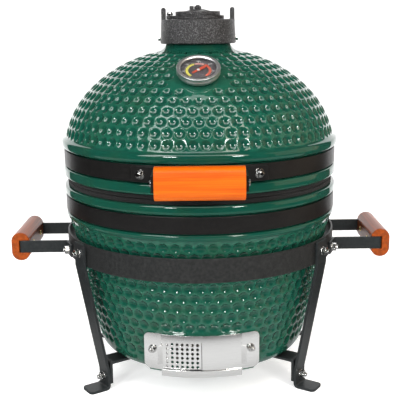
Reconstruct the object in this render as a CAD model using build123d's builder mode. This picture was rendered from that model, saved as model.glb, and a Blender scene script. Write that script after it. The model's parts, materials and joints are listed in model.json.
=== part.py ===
"""Ceramic egg-shaped charcoal grill on a four-legged steel stand, as an assembly of separate pieces.

Frame: millimetres, +Z up, floor at z = 0, body axis on Z, front of the grill towards -Y.
"""
from build123d import *
from math import asin, acos, atan2, cos, degrees, radians, sin, sqrt
import os

os.makedirs("parts", exist_ok=True)

# ---------------------------------------------------------------- driving dimensions
# ceramic body
BASE_Z = 42.0              # underside of the ceramic bowl, resting on the cross straps
BASE_RIM_Z = 241.0         # where the textured bowl ends and the smooth rim starts
BASE_TOP_Z = 288.0         # rim face of the bowl
LID_Z = 301.0              # rim face of the lid
LIP_R = 196.0              # smooth lips on both sides of the parting line
SEAT_R = 190.0             # grooves that the clamp bands sit in
MOUTH_R = 172.0            # clear inner radius at the parting line
DOME_A, DOME_B, DOME_Z = 194.0, 145.0, 333.0      # half axes and centre height of the dome
DOME_IN_A, DOME_IN_B = 172.0, 127.0
LID_RIM_R, LID_RIM_Z = 198.0, 355.5               # smooth raised rim above the lid band
NECK_R, NECK_BORE_R, NECK_Z = 43.5, 30.0, 500.0

# clamp bands and gaskets
BAND_R, BAND_T, BAND_H = 195.0, 3.0, 22.0
BASE_BAND_Z = 252.0
LID_BAND_Z = 316.5
GASKET_T = 6.2
GASKET_RI, GASKET_RO = 174.0, 191.5
HEAD_GAP = 0.15            # flat bolt heads stand this far off a curved band

# stand
RING_R, RING_T, RING_Z0, RING_Z1 = 195.0, 3.0, 188.0, 220.0
LEG_AZ = 33.5              # leg direction, measured from the X axis
LEG_W, LEG_T = 28.0, 4.0
LEG_FOOT_R = 165.0         # inner face of the leg at the foot
LEG_KNEE_Z = 26.0
LEG_BEND_Z = 186.0
TOE_R = 197.0
STRAP_T = 4.0

# side handles
GRIP_X, GRIP_Z = 258.0, 199.5
GRIP_W, GRIP_H, GRIP_L = 26.0, 41.0, 107.0
ARM_Y, ARM_H, ARM_T = 52.0, 17.5, 3.5
ARM_AZ = 21.0              # bolt of a handle arm on the ring, from the X axis
ARM_TIP_X = 260.0

# lid handle
LID_GRIP_Y, LID_GRIP_Z = -243.0, 327.0
LID_GRIP_L = 107.4
LID_ARM_T, LID_ARM_H = 3.2, 20.0
LID_BOLT_AZ = 21.8         # handle bolts on the lid band, from the front

# hinge at the back
PIN_Y, PIN_Z, PIN_R = 240.0, 294.4, 4.0
RUN_FIT = 0.05             # radial clearance of everything that turns
EAR_T = 4.0
EAR_IN_X, EAR_OUT_X = 31.0, 36.0      # inner faces of the upper and of the lower ears
EAR_R_UP, EAR_R_LOW = 12.0, 16.0
PLATE_R = BAND_R + 0.1
PLATE_T = 4.0
PLATE_HALF_DEG = 12.8

# thermometer
GAUGE_TILT = 58.5          # direction of the face above the horizontal
GAUGE_Y, GAUGE_Z = -129.3, 455.2
GAUGE_R = 28.3

# top vent
VENT_Z0, VENT_Z1 = 481.8, 515.0
VENT_R0, VENT_R1 = 53.6, 51.9
VENT_BORE_R = 28.0
PIVOT_X = -39.4
SLIDE_R, SLIDE_Z0, SLIDE_T = 37.0, 515.3, 5.0
DAISY_R, DAISY_T = 31.6, 5.3
DAISY_Z0 = SLIDE_Z0 + SLIDE_T + 0.3
DAISY_TOP_Z = 529.0
PETALS = 5
KNOB_TOP_Z = 534.8

# draft door
DRAFT_R = 164.5            # back face of the stainless frame
SHEET = 1.2
DRAFT_Z0, DRAFT_Z1 = 48.0, 107.0
DRAFT_HALF_DEG = 28.0
CHANNEL_HALF_DEG = 18.5
LIP_H = 9.5
SCREEN_R, DOOR_R, PANEL_T = 166.3, 167.9, 0.8
CHANNEL_R = 170.6
DRAFT_BOLT_AZ, DRAFT_BOLT_Z = 23.5, 83.0

# inner ceramics
FIREBOX_Z0, FIREBOX_Z1 = 68.0, 200.0
FIRERING_Z1 = 262.0
GRATE_Z, GRATE_T, GRATE_R = 100.0, 6.0, 96.0
GRID_R, GRID_Z = 143.0, 265.0

FRONT = -90.0              # direction of the front, in degrees about Z
LEG_DIRECTIONS = {
    "front_right": -LEG_AZ,
    "rear_right": LEG_AZ,
    "rear_left": 180 - LEG_AZ,
    "front_left": 180 + LEG_AZ,
}


def radial_plane(azimuth, r, z):
    """A plane at radius r and height z whose normal points outwards at that azimuth."""
    a = radians(azimuth)
    return Plane(origin=(r * cos(a), r * sin(a), z), x_dir=(-sin(a), cos(a), 0), z_dir=(cos(a), sin(a), 0))


def section_plane(azimuth):
    """The vertical plane through the body axis, drawn as (radius, height)."""
    a = radians(azimuth)
    return Plane(origin=(0, 0, 0), x_dir=(cos(a), sin(a), 0), z_dir=(sin(a), -cos(a), 0))


# gauge plane: origin at the middle of the bezel's front, normal along the face direction
TILT = radians(GAUGE_TILT)
GAUGE = Plane(origin=(0, GAUGE_Y, GAUGE_Z), x_dir=(1, 0, 0), z_dir=(0, -cos(TILT), sin(TILT)))


def fastener(grip, shank_r, head_r, head_h, nut_af, nut_h, washer_r, stud):
    """Bolt, washer and nut as one solid along +Z: head below z = 0, washer and nut above z = grip."""
    with BuildPart() as bolt:
        with BuildSketch(Plane.XZ):
            with BuildLine():
                Polyline((0, -head_h), (head_r * 0.55, -head_h), (head_r, -head_h * 0.4), (head_r, 0),
                         (shank_r, 0), (shank_r, grip), (washer_r, grip), (washer_r, grip + 1.2),
                         (shank_r, grip + 1.2), (shank_r, grip + 1.2 + nut_h + stud - 0.6),
                         (shank_r - 0.6, grip + 1.2 + nut_h + stud), (0, grip + 1.2 + nut_h + stud),
                         close=True)
            make_face()
        revolve(axis=Axis.Z)
        with BuildSketch(Plane.XY.offset(grip + 1.2)):
            RegularPolygon(radius=nut_af / 2, side_count=6, major_radius=False)
        extrude(amount=nut_h)
    return bolt.part


# ================================================================ ceramic body
with BuildPart() as base_shell:
    # bowl: rounded foot, gently flared wall, smooth rim, band groove and lip
    with BuildSketch(Plane.XZ):
        with BuildLine():
            floor = Line((0, BASE_Z), (128, BASE_Z))
            foot = Spline(floor @ 1, (146, 48), (153.5, 62), tangents=[(1, 0), (0.22, 1)])
            wall = Spline(foot @ 1, (160, 90), (168, 126), (173.5, 158), (179, 188), (186, 220),
                          (192, BASE_RIM_Z), tangents=[(0.22, 1), (0.32, 1)])
            rim = Polyline(wall @ 1, (194.6, BASE_RIM_Z + 2.5), (195, BASE_RIM_Z + 8.5),
                           (SEAT_R, BASE_RIM_Z + 9.5), (SEAT_R, BASE_BAND_Z + BAND_H + 1.5),
                           (LIP_R - 0.6, BASE_BAND_Z + BAND_H + 2.0), (LIP_R, BASE_BAND_Z + BAND_H + 3.5),
                           (LIP_R, BASE_TOP_Z - 4.0), (LIP_R - 4.0, BASE_TOP_Z), (MOUTH_R, BASE_TOP_Z))
            inside = Spline(rim @ 1, (168.5, 245), (157, 188), (144, 126), (136, 96), (118, 68),
                            tangents=[(0, -1), (-1, -0.5)])
            Line(inside @ 1, (0, 68))
            Line((0, 68), (0, BASE_Z))
        make_face()
    revolve(axis=Axis.Z)
    # thickened pad that the draft frame is bolted to
    with BuildSketch(section_plane(FRONT - 26)):
        with BuildLine():
            Polyline((140, DRAFT_Z0 + 2), (DRAFT_R - 4, DRAFT_Z0 + 2), (DRAFT_R - 0.3, DRAFT_Z0 + 6),
                     (DRAFT_R - 0.3, DRAFT_Z1 - 1), (140, DRAFT_Z1 - 1), close=True)
        make_face()
    revolve(axis=Axis.Z, revolution_arc=52)
    # air opening through the front wall
    with BuildSketch(Plane.XZ.offset(110)):
        with Locations((0, 82)):
            RectangleRounded(76, 30, 5)
    extrude(amount=90, mode=Mode.SUBTRACT)
    # sockets for the two draft frame bolts
    for side in (-1, 1):
        with Locations(radial_plane(FRONT + side * DRAFT_BOLT_AZ, DRAFT_R - 10, DRAFT_BOLT_Z)):
            Cylinder(2.7, 24, mode=Mode.SUBTRACT)
base_shell.part.label = "base_shell"
export_step(base_shell.part, "parts/base_shell.step")

DOME_START = degrees(asin((LID_RIM_Z - DOME_Z) / DOME_B))
DOME_END = degrees(acos(63.0 / DOME_A))
with BuildPart() as lid_shell:
    # dome: lip, band groove, raised rim, half-ellipse dome, flared neck
    with BuildSketch(Plane.XZ):
        with BuildLine():
            lip = Polyline((MOUTH_R, LID_Z), (LIP_R - 2.5, LID_Z), (LIP_R, LID_Z + 2.5),
                           (LIP_R, LID_BAND_Z - 3.0), (LIP_R - 0.6, LID_BAND_Z - 2.0),
                           (SEAT_R, LID_BAND_Z - 1.5), (SEAT_R, LID_BAND_Z + BAND_H + 1.0),
                           (LID_RIM_R - 1.5, LID_BAND_Z + BAND_H + 1.5))
            dome = EllipticalCenterArc((0, DOME_Z), DOME_A, DOME_B, start_angle=DOME_START,
                                       arc_size=DOME_END - DOME_START)
            Spline(lip @ 1, (LID_RIM_R, LID_BAND_Z + BAND_H + 5), (LID_RIM_R - 1.2, LID_RIM_Z - 4), dome @ 0)
            flare = Spline(dome @ 1, (50.5, 476), (NECK_R, 484), tangents=[dome % 1, (0, 1)])
            Polyline(flare @ 1, (NECK_R, NECK_Z), (NECK_BORE_R, NECK_Z),
                     (NECK_BORE_R, DOME_Z + DOME_IN_B * sqrt(1 - (NECK_BORE_R / DOME_IN_A) ** 2)))
            ceiling = EllipticalCenterArc((0, DOME_Z), DOME_IN_A, DOME_IN_B, start_angle=0,
                                          arc_size=degrees(acos(NECK_BORE_R / DOME_IN_A)))
            Line(ceiling @ 0, lip @ 0)
        make_face()
    revolve(axis=Axis.Z)
    # bore for the thermometer stem
    with BuildSketch(GAUGE.offset(-60)):
        Circle(5.0)
    extrude(amount=70, mode=Mode.SUBTRACT)
lid_shell.part.label = "lid_shell"
export_step(lid_shell.part, "parts/lid_shell.step")

# felt gaskets on the two rim faces
for label, z in (("base_gasket", BASE_TOP_Z), ("lid_gasket", LID_Z - GASKET_T)):
    with BuildPart() as gasket:
        with BuildSketch(Plane.XY.offset(z)):
            Circle(GASKET_RO)
            Circle(GASKET_RI, mode=Mode.SUBTRACT)
        extrude(amount=GASKET_T)
    gasket.part.label = label
    export_step(gasket.part, f"parts/{label}.step")

# steel clamp bands, drilled for the hinge bolts and, on the lid, for the handle bolts
HINGE_BOLT_AZ = 4.4
BAND_HOLES = {
    "base_band": (BASE_BAND_Z, (90 - HINGE_BOLT_AZ, 90 + HINGE_BOLT_AZ)),
    "lid_band": (LID_BAND_Z, (90 - HINGE_BOLT_AZ, 90 + HINGE_BOLT_AZ,
                              FRONT - LID_BOLT_AZ, FRONT + LID_BOLT_AZ)),
}
for label, (z, holes) in BAND_HOLES.items():
    with BuildPart() as band:
        with BuildSketch(Plane.XY.offset(z)):
            Circle(BAND_R)
            Circle(BAND_R - BAND_T, mode=Mode.SUBTRACT)
        extrude(amount=BAND_H)
        for azimuth in holes:
            with Locations(radial_plane(azimuth, BAND_R - BAND_T / 2, z + BAND_H / 2)):
                Cylinder(3.2, 8, mode=Mode.SUBTRACT)
    band.part.label = label
    export_step(band.part, f"parts/{label}.step")

# ================================================================ stand
LEG_BOLT_Z = 205.0
with BuildPart() as stand_ring:
    with BuildSketch(Plane.XY.offset(RING_Z0)):
        Circle(RING_R)
        Circle(RING_R - RING_T, mode=Mode.SUBTRACT)
    extrude(amount=RING_Z1 - RING_Z0)
    for azimuth in LEG_DIRECTIONS.values():
        with Locations(radial_plane(azimuth, RING_R - RING_T / 2, LEG_BOLT_Z)):
            Cylinder(3.2, 8, mode=Mode.SUBTRACT)
    for azimuth in (ARM_AZ, -ARM_AZ, 180 - ARM_AZ, 180 + ARM_AZ):
        with Locations(radial_plane(azimuth, RING_R - RING_T / 2, GRIP_Z)):
            Cylinder(3.2, 8, mode=Mode.SUBTRACT)
stand_ring.part.label = "stand_ring"
export_step(stand_ring.part, "parts/stand_ring.step")

# legs: upright tab on the ring, long inward slope, short upright foot and a toe turned outwards
FOOT_BOLT_Z = 18.0
for place, azimuth in LEG_DIRECTIONS.items():
    with BuildPart() as leg:
        with BuildSketch(section_plane(azimuth)):
            with BuildLine():
                FilletPolyline((RING_R + LEG_T / 2, RING_Z1 - 1), (RING_R + LEG_T / 2, LEG_BEND_Z),
                               (LEG_FOOT_R + LEG_T / 2, LEG_KNEE_Z), (LEG_FOOT_R + LEG_T / 2, LEG_T / 2),
                               (TOE_R, LEG_T / 2), radius=5)
            trace(line_width=LEG_T)
        extrude(amount=LEG_W / 2, both=True)
        toe_corners = leg.edges().filter_by(Axis.Z).sort_by(SortBy.DISTANCE)[-8:]
        toe_corners = toe_corners.filter_by(lambda edge: edge.center().Z < LEG_T)
        fillet(toe_corners, radius=6)
        with Locations(radial_plane(azimuth, RING_R + LEG_T / 2, LEG_BOLT_Z)):
            Cylinder(3.2, 10, mode=Mode.SUBTRACT)
        with Locations(radial_plane(azimuth, LEG_FOOT_R + LEG_T / 2, FOOT_BOLT_Z)):
            Cylinder(3.2, 10, mode=Mode.SUBTRACT)
    leg.part.label = f"leg_{place}"
    export_step(leg.part, f"parts/leg_{place}.step")

# cross straps under the bowl, ends turned down behind the feet; the lower one dips under the upper one
STRAP_END_R = LEG_FOOT_R - STRAP_T / 2
STRAP_MID_Z = BASE_Z - STRAP_T / 2
STRAP_END_Z = 9.0
STRAP_DIP = 4.5
STRAP_ROUTES = {
    "cross_strap_upper": (LEG_AZ, [(-STRAP_END_R, STRAP_END_Z), (-STRAP_END_R, STRAP_MID_Z),
                                   (STRAP_END_R, STRAP_MID_Z), (STRAP_END_R, STRAP_END_Z)]),
    "cross_strap_lower": (-LEG_AZ, [(-STRAP_END_R, STRAP_END_Z), (-STRAP_END_R, STRAP_MID_Z),
                                    (-40, STRAP_MID_Z), (-32, STRAP_MID_Z - STRAP_DIP),
                                    (32, STRAP_MID_Z - STRAP_DIP), (40, STRAP_MID_Z),
                                    (STRAP_END_R, STRAP_MID_Z), (STRAP_END_R, STRAP_END_Z)]),
}
for label, (azimuth, route) in STRAP_ROUTES.items():
    with BuildPart() as strap:
        with BuildSketch(section_plane(azimuth)):
            with BuildLine():
                FilletPolyline(*route, radius=3)
            trace(line_width=STRAP_T)
        extrude(amount=LEG_W / 2, both=True)
        for end in (azimuth, azimuth + 180):
            with Locations(radial_plane(end, STRAP_END_R, FOOT_BOLT_Z)):
                Cylinder(3.2, 10, mode=Mode.SUBTRACT)
    strap.part.label = label
    export_step(strap.part, f"parts/{label}.step")

# bolts of the stand, nuts outside
LEG_GRIP = RING_T + LEG_T
ring_bolt = fastener(LEG_GRIP + HEAD_GAP, 3.0, 5.5, 3.2, 10.0, 5.0, 6.2, 4.0)
with BuildPart() as leg_top_bolts:
    for azimuth in LEG_DIRECTIONS.values():
        with Locations(radial_plane(azimuth, RING_R - RING_T - HEAD_GAP, LEG_BOLT_Z)):
            add(ring_bolt)
leg_top_bolts.part.label = "leg_top_bolts"
export_step(leg_top_bolts.part, "parts/leg_top_bolts.step")

foot_bolt = fastener(STRAP_T + LEG_T, 3.0, 5.5, 3.2, 10.0, 5.0, 6.2, 4.0)
with BuildPart() as leg_foot_bolts:
    for azimuth in LEG_DIRECTIONS.values():
        with Locations(radial_plane(azimuth, LEG_FOOT_R - STRAP_T, FOOT_BOLT_Z)):
            add(foot_bolt)
leg_foot_bolts.part.label = "leg_foot_bolts"
export_step(leg_foot_bolts.part, "parts/leg_foot_bolts.step")

# ================================================================ side handles
# each bar is one flat strip: tab on the ring, arm, back of the grip, arm, tab
TAB_R = RING_R + 0.1 + ARM_T / 2
TAB_TAN = (sin(radians(ARM_AZ)), cos(radians(ARM_AZ)))
TAB_X, TAB_Y = TAB_R * cos(radians(ARM_AZ)), TAB_R * sin(radians(ARM_AZ))
TAB_ROOT = (TAB_X + TAB_TAN[0] * (TAB_Y - ARM_Y) / TAB_TAN[1], ARM_Y)
TAB_TIP = (TAB_X - 10 * TAB_TAN[0], TAB_Y + 10 * TAB_TAN[1])
BACK_X = ARM_TIP_X - ARM_T / 2
SLOT_CLEAR = 0.2
for name, side in (("left", -1), ("right", 1)):
    with BuildPart() as handle_bar:
        with BuildSketch(Plane.XY.offset(GRIP_Z - ARM_H / 2)):
            with BuildLine():
                FilletPolyline((side * TAB_TIP[0], -TAB_TIP[1]), (side * TAB_ROOT[0], -TAB_ROOT[1]),
                               (side * BACK_X, -ARM_Y), (side * BACK_X, ARM_Y),
                               (side * TAB_ROOT[0], TAB_ROOT[1]), (side * TAB_TIP[0], TAB_TIP[1]), radius=3)
            trace(line_width=ARM_T)
        extrude(amount=ARM_H)
        for end in (-1, 1):
            azimuth = degrees(atan2(end * sin(radians(ARM_AZ)), side * cos(radians(ARM_AZ))))
            with Locations(radial_plane(azimuth, TAB_R, GRIP_Z)):
                Cylinder(3.2, 8, mode=Mode.SUBTRACT)
    handle_bar.part.label = f"handle_bar_{name}"
    export_step(handle_bar.part, f"parts/handle_bar_{name}.step")

    with BuildPart() as side_grip:
        with BuildSketch(Plane.XZ):
            with Locations((side * GRIP_X, GRIP_Z)):
                SlotOverall(GRIP_H, GRIP_W, rotation=90)
        extrude(amount=GRIP_L / 2, both=True)
        fillet(side_grip.edges().filter_by(GeomType.CIRCLE), radius=1.2)
        with Locations((side * (ARM_TIP_X + SLOT_CLEAR - 20), 0, GRIP_Z)):
            Box(40, GRIP_L + 2, ARM_H + 2 * SLOT_CLEAR, mode=Mode.SUBTRACT)
    side_grip.part.label = f"side_grip_{name}"
    export_step(side_grip.part, f"parts/side_grip_{name}.step")

    # wooden strip that closes the groove behind the bar
    strip_x0 = GRIP_X - GRIP_W / 2
    strip_x1 = ARM_TIP_X - ARM_T - SLOT_CLEAR
    with BuildPart() as grip_strip:
        with Locations((side * (strip_x0 + strip_x1) / 2, 0, GRIP_Z)):
            Box(strip_x1 - strip_x0, 2 * (ARM_Y - ARM_T / 2 - 1.4), ARM_H)
        for y in (-26, 26):
            with Locations(Plane(origin=(side * strip_x0, y, GRIP_Z), z_dir=(-side, 0, 0))):
                Cylinder(1.7, 60, mode=Mode.SUBTRACT)
    grip_strip.part.label = f"grip_strip_{name}"
    export_step(grip_strip.part, f"parts/grip_strip_{name}.step")

with BuildPart() as grip_screws:
    for side in (-1, 1):
        for y in (-26, 26):
            with BuildSketch(Plane(origin=(side * (GRIP_X - GRIP_W / 2), y, GRIP_Z), z_dir=(-side, 0, 0))):
                Circle(1.6)
            extrude(amount=-(ARM_TIP_X - ARM_T - SLOT_CLEAR - GRIP_X + GRIP_W / 2) + 0.2)
            with BuildSketch(Plane(origin=(side * (GRIP_X - GRIP_W / 2), y, GRIP_Z), z_dir=(-side, 0, 0))):
                Circle(3.4)
            extrude(amount=1.6, taper=28)
grip_screws.part.label = "grip_screws"
export_step(grip_screws.part, "parts/grip_screws.step")

handle_bolt = fastener(RING_T + 0.1 + ARM_T + HEAD_GAP, 3.0, 5.5, 3.2, 10.0, 5.0, 6.2, 3.0)
with BuildPart() as handle_bolts:
    for azimuth in (ARM_AZ, -ARM_AZ, 180 - ARM_AZ, 180 + ARM_AZ):
        with Locations(radial_plane(azimuth, RING_R - RING_T - HEAD_GAP, GRIP_Z)):
            add(handle_bolt)
handle_bolts.part.label = "handle_bolts"
export_step(handle_bolts.part, "parts/handle_bolts.step")

# ================================================================ inner ceramics and grates
with BuildPart() as fire_box:
    # cup with an inner ledge for the grate and an air slot facing the draft door
    with BuildSketch(Plane.XZ):
        with BuildLine():
            Polyline((0, FIREBOX_Z0), (106, FIREBOX_Z0), (132, FIREBOX_Z1), (118, FIREBOX_Z1),
                     (98, GRATE_Z), (86, GRATE_Z), (86, FIREBOX_Z0 + 14), (0, FIREBOX_Z0 + 14), close=True)
        make_face()
    revolve(axis=Axis.Z)
    with BuildSketch(Plane.XZ.offset(70)):
        with Locations((0, FIREBOX_Z0 + 21)):
            RectangleRounded(64, 13, 4)
    extrude(amount=60, mode=Mode.SUBTRACT)
    with PolarLocations(125, 8, start_angle=22.5):
        with Locations((0, 0, 150)):
            Cylinder(7, 60, rotation=(0, 90, 0), mode=Mode.SUBTRACT)
fire_box.part.label = "fire_box"
export_step(fire_box.part, "parts/fire_box.step")

with BuildPart() as fire_ring:
    with BuildSketch(Plane.XZ):
        with BuildLine():
            Polyline((122, FIREBOX_Z1), (136, FIREBOX_Z1), (149, FIRERING_Z1), (134, FIRERING_Z1), close=True)
        make_face()
    revolve(axis=Axis.Z)
fire_ring.part.label = "fire_ring"
export_step(fire_ring.part, "parts/fire_ring.step")

with BuildPart() as charcoal_grate:
    with BuildSketch(Plane.XY.offset(GRATE_Z)):
        Circle(GRATE_R)
        for row in range(-4, 5):
            y = row * 18.0
            half = sqrt((GRATE_R - 9) ** 2 - y ** 2)
            for side in (-1, 1):
                with Locations((side * (half + 5) / 2, y)):
                    SlotOverall(half - 5, 8, mode=Mode.SUBTRACT)
    extrude(amount=GRATE_T)
charcoal_grate.part.label = "charcoal_grate"
export_step(charcoal_grate.part, "parts/charcoal_grate.step")

# cooking grid: flat rim, parallel bars that end on its inner face and two support bars below them
GRID_RIM_RI, GRID_RIM_RO = GRID_R - 2, GRID_R + 3
GRID_BAR_R, GRID_BAR_PITCH = 2.0, 18.0
GRID_BAR_HALF_COUNT = 7
WELD_GAP = 0.02
SUPPORT_Y = 60.0
SUPPORT_HALF = 107.8
with BuildPart() as grid_rim:
    with BuildSketch(Plane.XY.offset(GRID_Z - 3)):
        Circle(GRID_RIM_RO)
        Circle(GRID_RIM_RI, mode=Mode.SUBTRACT)
    extrude(amount=6)
grid_rim.part.label = "grid_rim"
export_step(grid_rim.part, "parts/grid_rim.step")

with BuildPart() as grid_bars:
    for step in range(-GRID_BAR_HALF_COUNT, GRID_BAR_HALF_COUNT + 1):
        with Locations((step * GRID_BAR_PITCH, 0, GRID_Z)):
            Cylinder(GRID_BAR_R, 2 * GRID_R, rotation=(90, 0, 0))
    with BuildSketch(Plane.XY.offset(GRID_Z - 3)):
        Circle(GRID_RIM_RI)
    extrude(amount=6, mode=Mode.INTERSECT)
    for y in (-SUPPORT_Y, SUPPORT_Y):
        with Locations((0, y, GRID_Z - 2 * GRID_BAR_R - WELD_GAP)):
            Cylinder(GRID_BAR_R, 2 * SUPPORT_HALF, rotation=(0, 90, 0))
grid_bars.part.label = "grid_bars"
export_step(grid_bars.part, "parts/grid_bars.step")

# ================================================================ draft door
DRAFT_MID_Z = (DRAFT_Z0 + DRAFT_Z1) / 2
EAR_Z0, EAR_Z1 = DRAFT_Z0 + 6.5, DRAFT_Z1 - 1.5
EAR_HALF_X = (DRAFT_R + SHEET) * sin(radians(DRAFT_HALF_DEG))
CHANNEL_HALF_X = (DRAFT_R + SHEET) * sin(radians(CHANNEL_HALF_DEG))


def front_sector(r0, r1, z0, z1, half_deg, middle=0.0):
    """Sketch plane and arc for a curved plate round the body axis, centred on the front."""
    with BuildSketch(section_plane(FRONT + middle - half_deg)) as section:
        with Locations(((r0 + r1) / 2, (z0 + z1) / 2)):
            Rectangle(r1 - r0, z1 - z0)
    return section.sketch


with BuildPart() as draft_frame:
    # back plate with rounded ears
    revolve(front_sector(DRAFT_R, DRAFT_R + SHEET, DRAFT_Z0, DRAFT_Z1, DRAFT_HALF_DEG),
            axis=Axis.Z, revolution_arc=2 * DRAFT_HALF_DEG)
    with BuildSketch(Plane.XZ.offset(120)):
        with Locations((0, (EAR_Z0 + EAR_Z1) / 2)):
            RectangleRounded(2 * EAR_HALF_X, EAR_Z1 - EAR_Z0, 8)
        with Locations((0, DRAFT_MID_Z)):
            Rectangle(2 * CHANNEL_HALF_X, DRAFT_Z1 - DRAFT_Z0)
    extrude(amount=60, mode=Mode.INTERSECT)
    with BuildSketch(Plane.XZ.offset(120)):
        with Locations((0, DRAFT_MID_Z)):
            RectangleRounded(84, 36, 3)
    extrude(amount=60, mode=Mode.SUBTRACT)
    # bottom and top channels: flange and front lip
    for z0, z1, lip0, lip1 in ((DRAFT_Z0, DRAFT_Z0 + SHEET, DRAFT_Z0, DRAFT_Z0 + LIP_H),
                               (DRAFT_Z1 - SHEET, DRAFT_Z1, DRAFT_Z1 - LIP_H, DRAFT_Z1)):
        revolve(front_sector(DRAFT_R, CHANNEL_R, z0, z1, CHANNEL_HALF_DEG),
                axis=Axis.Z, revolution_arc=2 * CHANNEL_HALF_DEG)
        revolve(front_sector(CHANNEL_R - SHEET, CHANNEL_R, lip0, lip1, CHANNEL_HALF_DEG),
                axis=Axis.Z, revolution_arc=2 * CHANNEL_HALF_DEG)
    for side in (-1, 1):
        with Locations(radial_plane(FRONT + side * DRAFT_BOLT_AZ, DRAFT_R, DRAFT_BOLT_Z)):
            Cylinder(2.7, 6, mode=Mode.SUBTRACT)
draft_frame.part.label = "draft_frame"
export_step(draft_frame.part, "parts/draft_frame.step")

PANEL_Z0, PANEL_Z1 = DRAFT_Z0 + SHEET + 0.5, DRAFT_Z1 - SHEET - 0.5
PANEL_DEG = 18.2
TAB_LEN, TAB_Z = 8.0, (64.0, 90.0)


def end_tab(azimuth, r, turn):
    """Plane of a finger tab that leaves the end of a sliding panel half outwards, half sideways."""
    a = radians(azimuth)
    b = a + radians(turn)
    start = (r * cos(a), r * sin(a), 0)
    return Plane(origin=start, x_dir=(cos(b), sin(b), 0), z_dir=(0, 0, 1))


with BuildPart() as draft_screen:
    revolve(front_sector(SCREEN_R, SCREEN_R + PANEL_T, PANEL_Z0, PANEL_Z1,
                         PANEL_DEG / 2, -PANEL_DEG / 2 - 0.1),
            axis=Axis.Z, revolution_arc=PANEL_DEG)
    for column in range(7):
        azimuth = FRONT - 1.9 - column * 2.35
        for row in range(6):
            with Locations(radial_plane(azimuth, SCREEN_R, 61.5 + row * 6.3)):
                Cylinder(1.8, 6, mode=Mode.SUBTRACT)
    with BuildSketch(end_tab(FRONT - PANEL_DEG - 0.1, SCREEN_R + PANEL_T / 2, -45).offset(TAB_Z[0])):
        with Locations((TAB_LEN / 2 - 0.6, 0)):
            Rectangle(TAB_LEN, PANEL_T)
    extrude(amount=TAB_Z[1] - TAB_Z[0])
draft_screen.part.label = "draft_screen"
export_step(draft_screen.part, "parts/draft_screen.step")

with BuildPart() as draft_door:
    revolve(front_sector(DOOR_R, DOOR_R + PANEL_T, PANEL_Z0, PANEL_Z1, PANEL_DEG / 2, PANEL_DEG / 2 + 0.1),
            axis=Axis.Z, revolution_arc=PANEL_DEG)
    with BuildSketch(end_tab(FRONT + PANEL_DEG + 0.1, DOOR_R + PANEL_T / 2, 45).offset(TAB_Z[0])):
        with Locations((TAB_LEN / 2 - 0.6, 0)):
            Rectangle(TAB_LEN, PANEL_T)
    extrude(amount=TAB_Z[1] - TAB_Z[0])
draft_door.part.label = "draft_door"
export_step(draft_door.part, "parts/draft_door.step")

draft_bolt = fastener(18.0, 2.5, 2.6, 1.0, 8.0, 4.0, 5.6, 3.5)
with BuildPart() as draft_frame_bolts:
    for side in (-1, 1):
        with Locations(radial_plane(FRONT + side * DRAFT_BOLT_AZ, DRAFT_R + SHEET - 18.0, DRAFT_BOLT_Z)):
            add(draft_bolt)
draft_frame_bolts.part.label = "draft_frame_bolts"
export_step(draft_frame_bolts.part, "parts/draft_frame_bolts.step")

# ================================================================ hinge
with BuildPart() as hinge_lower_bracket:
    # curved plate on the base band, two outer ears and a web that stops the open lid
    with BuildSketch(section_plane(90 - PLATE_HALF_DEG)):
        with Locations((PLATE_R + PLATE_T / 2, BASE_BAND_Z + BAND_H / 2)):
            Rectangle(PLATE_T, BAND_H)
    revolve(axis=Axis.Z, revolution_arc=2 * PLATE_HALF_DEG)
    for side in (-1, 1):
        with BuildSketch(Plane.YZ.offset(side * (EAR_OUT_X + EAR_T / 2))):
            with BuildLine():
                Polyline((192.8, 252.5), (246, 270), (250, 282), (230.6, 307.3), (192.8, 273.5), close=True)
            make_face()
            with Locations((PIN_Y, PIN_Z)):
                Circle(EAR_R_LOW)
                Circle(PIN_R + 0.02, mode=Mode.SUBTRACT)
        extrude(amount=EAR_T / 2, both=True)
    with Locations((0, 223, 274.8)):
        Box(2 * EAR_OUT_X + 2, 46, 3.2)
    for azimuth in (90 - HINGE_BOLT_AZ, 90 + HINGE_BOLT_AZ):
        with Locations(radial_plane(azimuth, PLATE_R + PLATE_T / 2, BASE_BAND_Z + BAND_H / 2)):
            Cylinder(2.7, 8, mode=Mode.SUBTRACT)
hinge_lower_bracket.part.label = "hinge_lower_bracket"
export_step(hinge_lower_bracket.part, "parts/hinge_lower_bracket.step")

HEEL_DIR, HEEL_LEN, HEEL_W = -30.0, 17.0, 10.0
with BuildPart() as hinge_upper_bracket:
    # curved plate on the lid band, two inner ears with a heel that meets the web when the lid is open
    with BuildSketch(section_plane(90 - PLATE_HALF_DEG)):
        with Locations((PLATE_R + PLATE_T / 2, LID_BAND_Z + BAND_H / 2)):
            Rectangle(PLATE_T, BAND_H)
    revolve(axis=Axis.Z, revolution_arc=2 * PLATE_HALF_DEG)
    for side in (-1, 1):
        with BuildSketch(Plane.YZ.offset(side * (EAR_IN_X + EAR_T / 2))):
            with BuildLine():
                Polyline((193.4, 318), (232.7, 284.9), (247.3, 303.9), (193.4, 338), close=True)
            make_face()
            with Locations((PIN_Y, PIN_Z)):
                Circle(EAR_R_UP)
                with Locations(Location((0, 0, 0), (0, 0, HEEL_DIR))):
                    with Locations((HEEL_LEN / 2, 0)):
                        Rectangle(HEEL_LEN, HEEL_W)
                Circle(PIN_R + RUN_FIT, mode=Mode.SUBTRACT)
        extrude(amount=EAR_T / 2, both=True)
    for azimuth in (90 - HINGE_BOLT_AZ, 90 + HINGE_BOLT_AZ):
        with Locations(radial_plane(azimuth, PLATE_R + PLATE_T / 2, LID_BAND_Z + BAND_H / 2)):
            Cylinder(2.7, 8, mode=Mode.SUBTRACT)
hinge_upper_bracket.part.label = "hinge_upper_bracket"
export_step(hinge_upper_bracket.part, "parts/hinge_upper_bracket.step")

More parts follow.
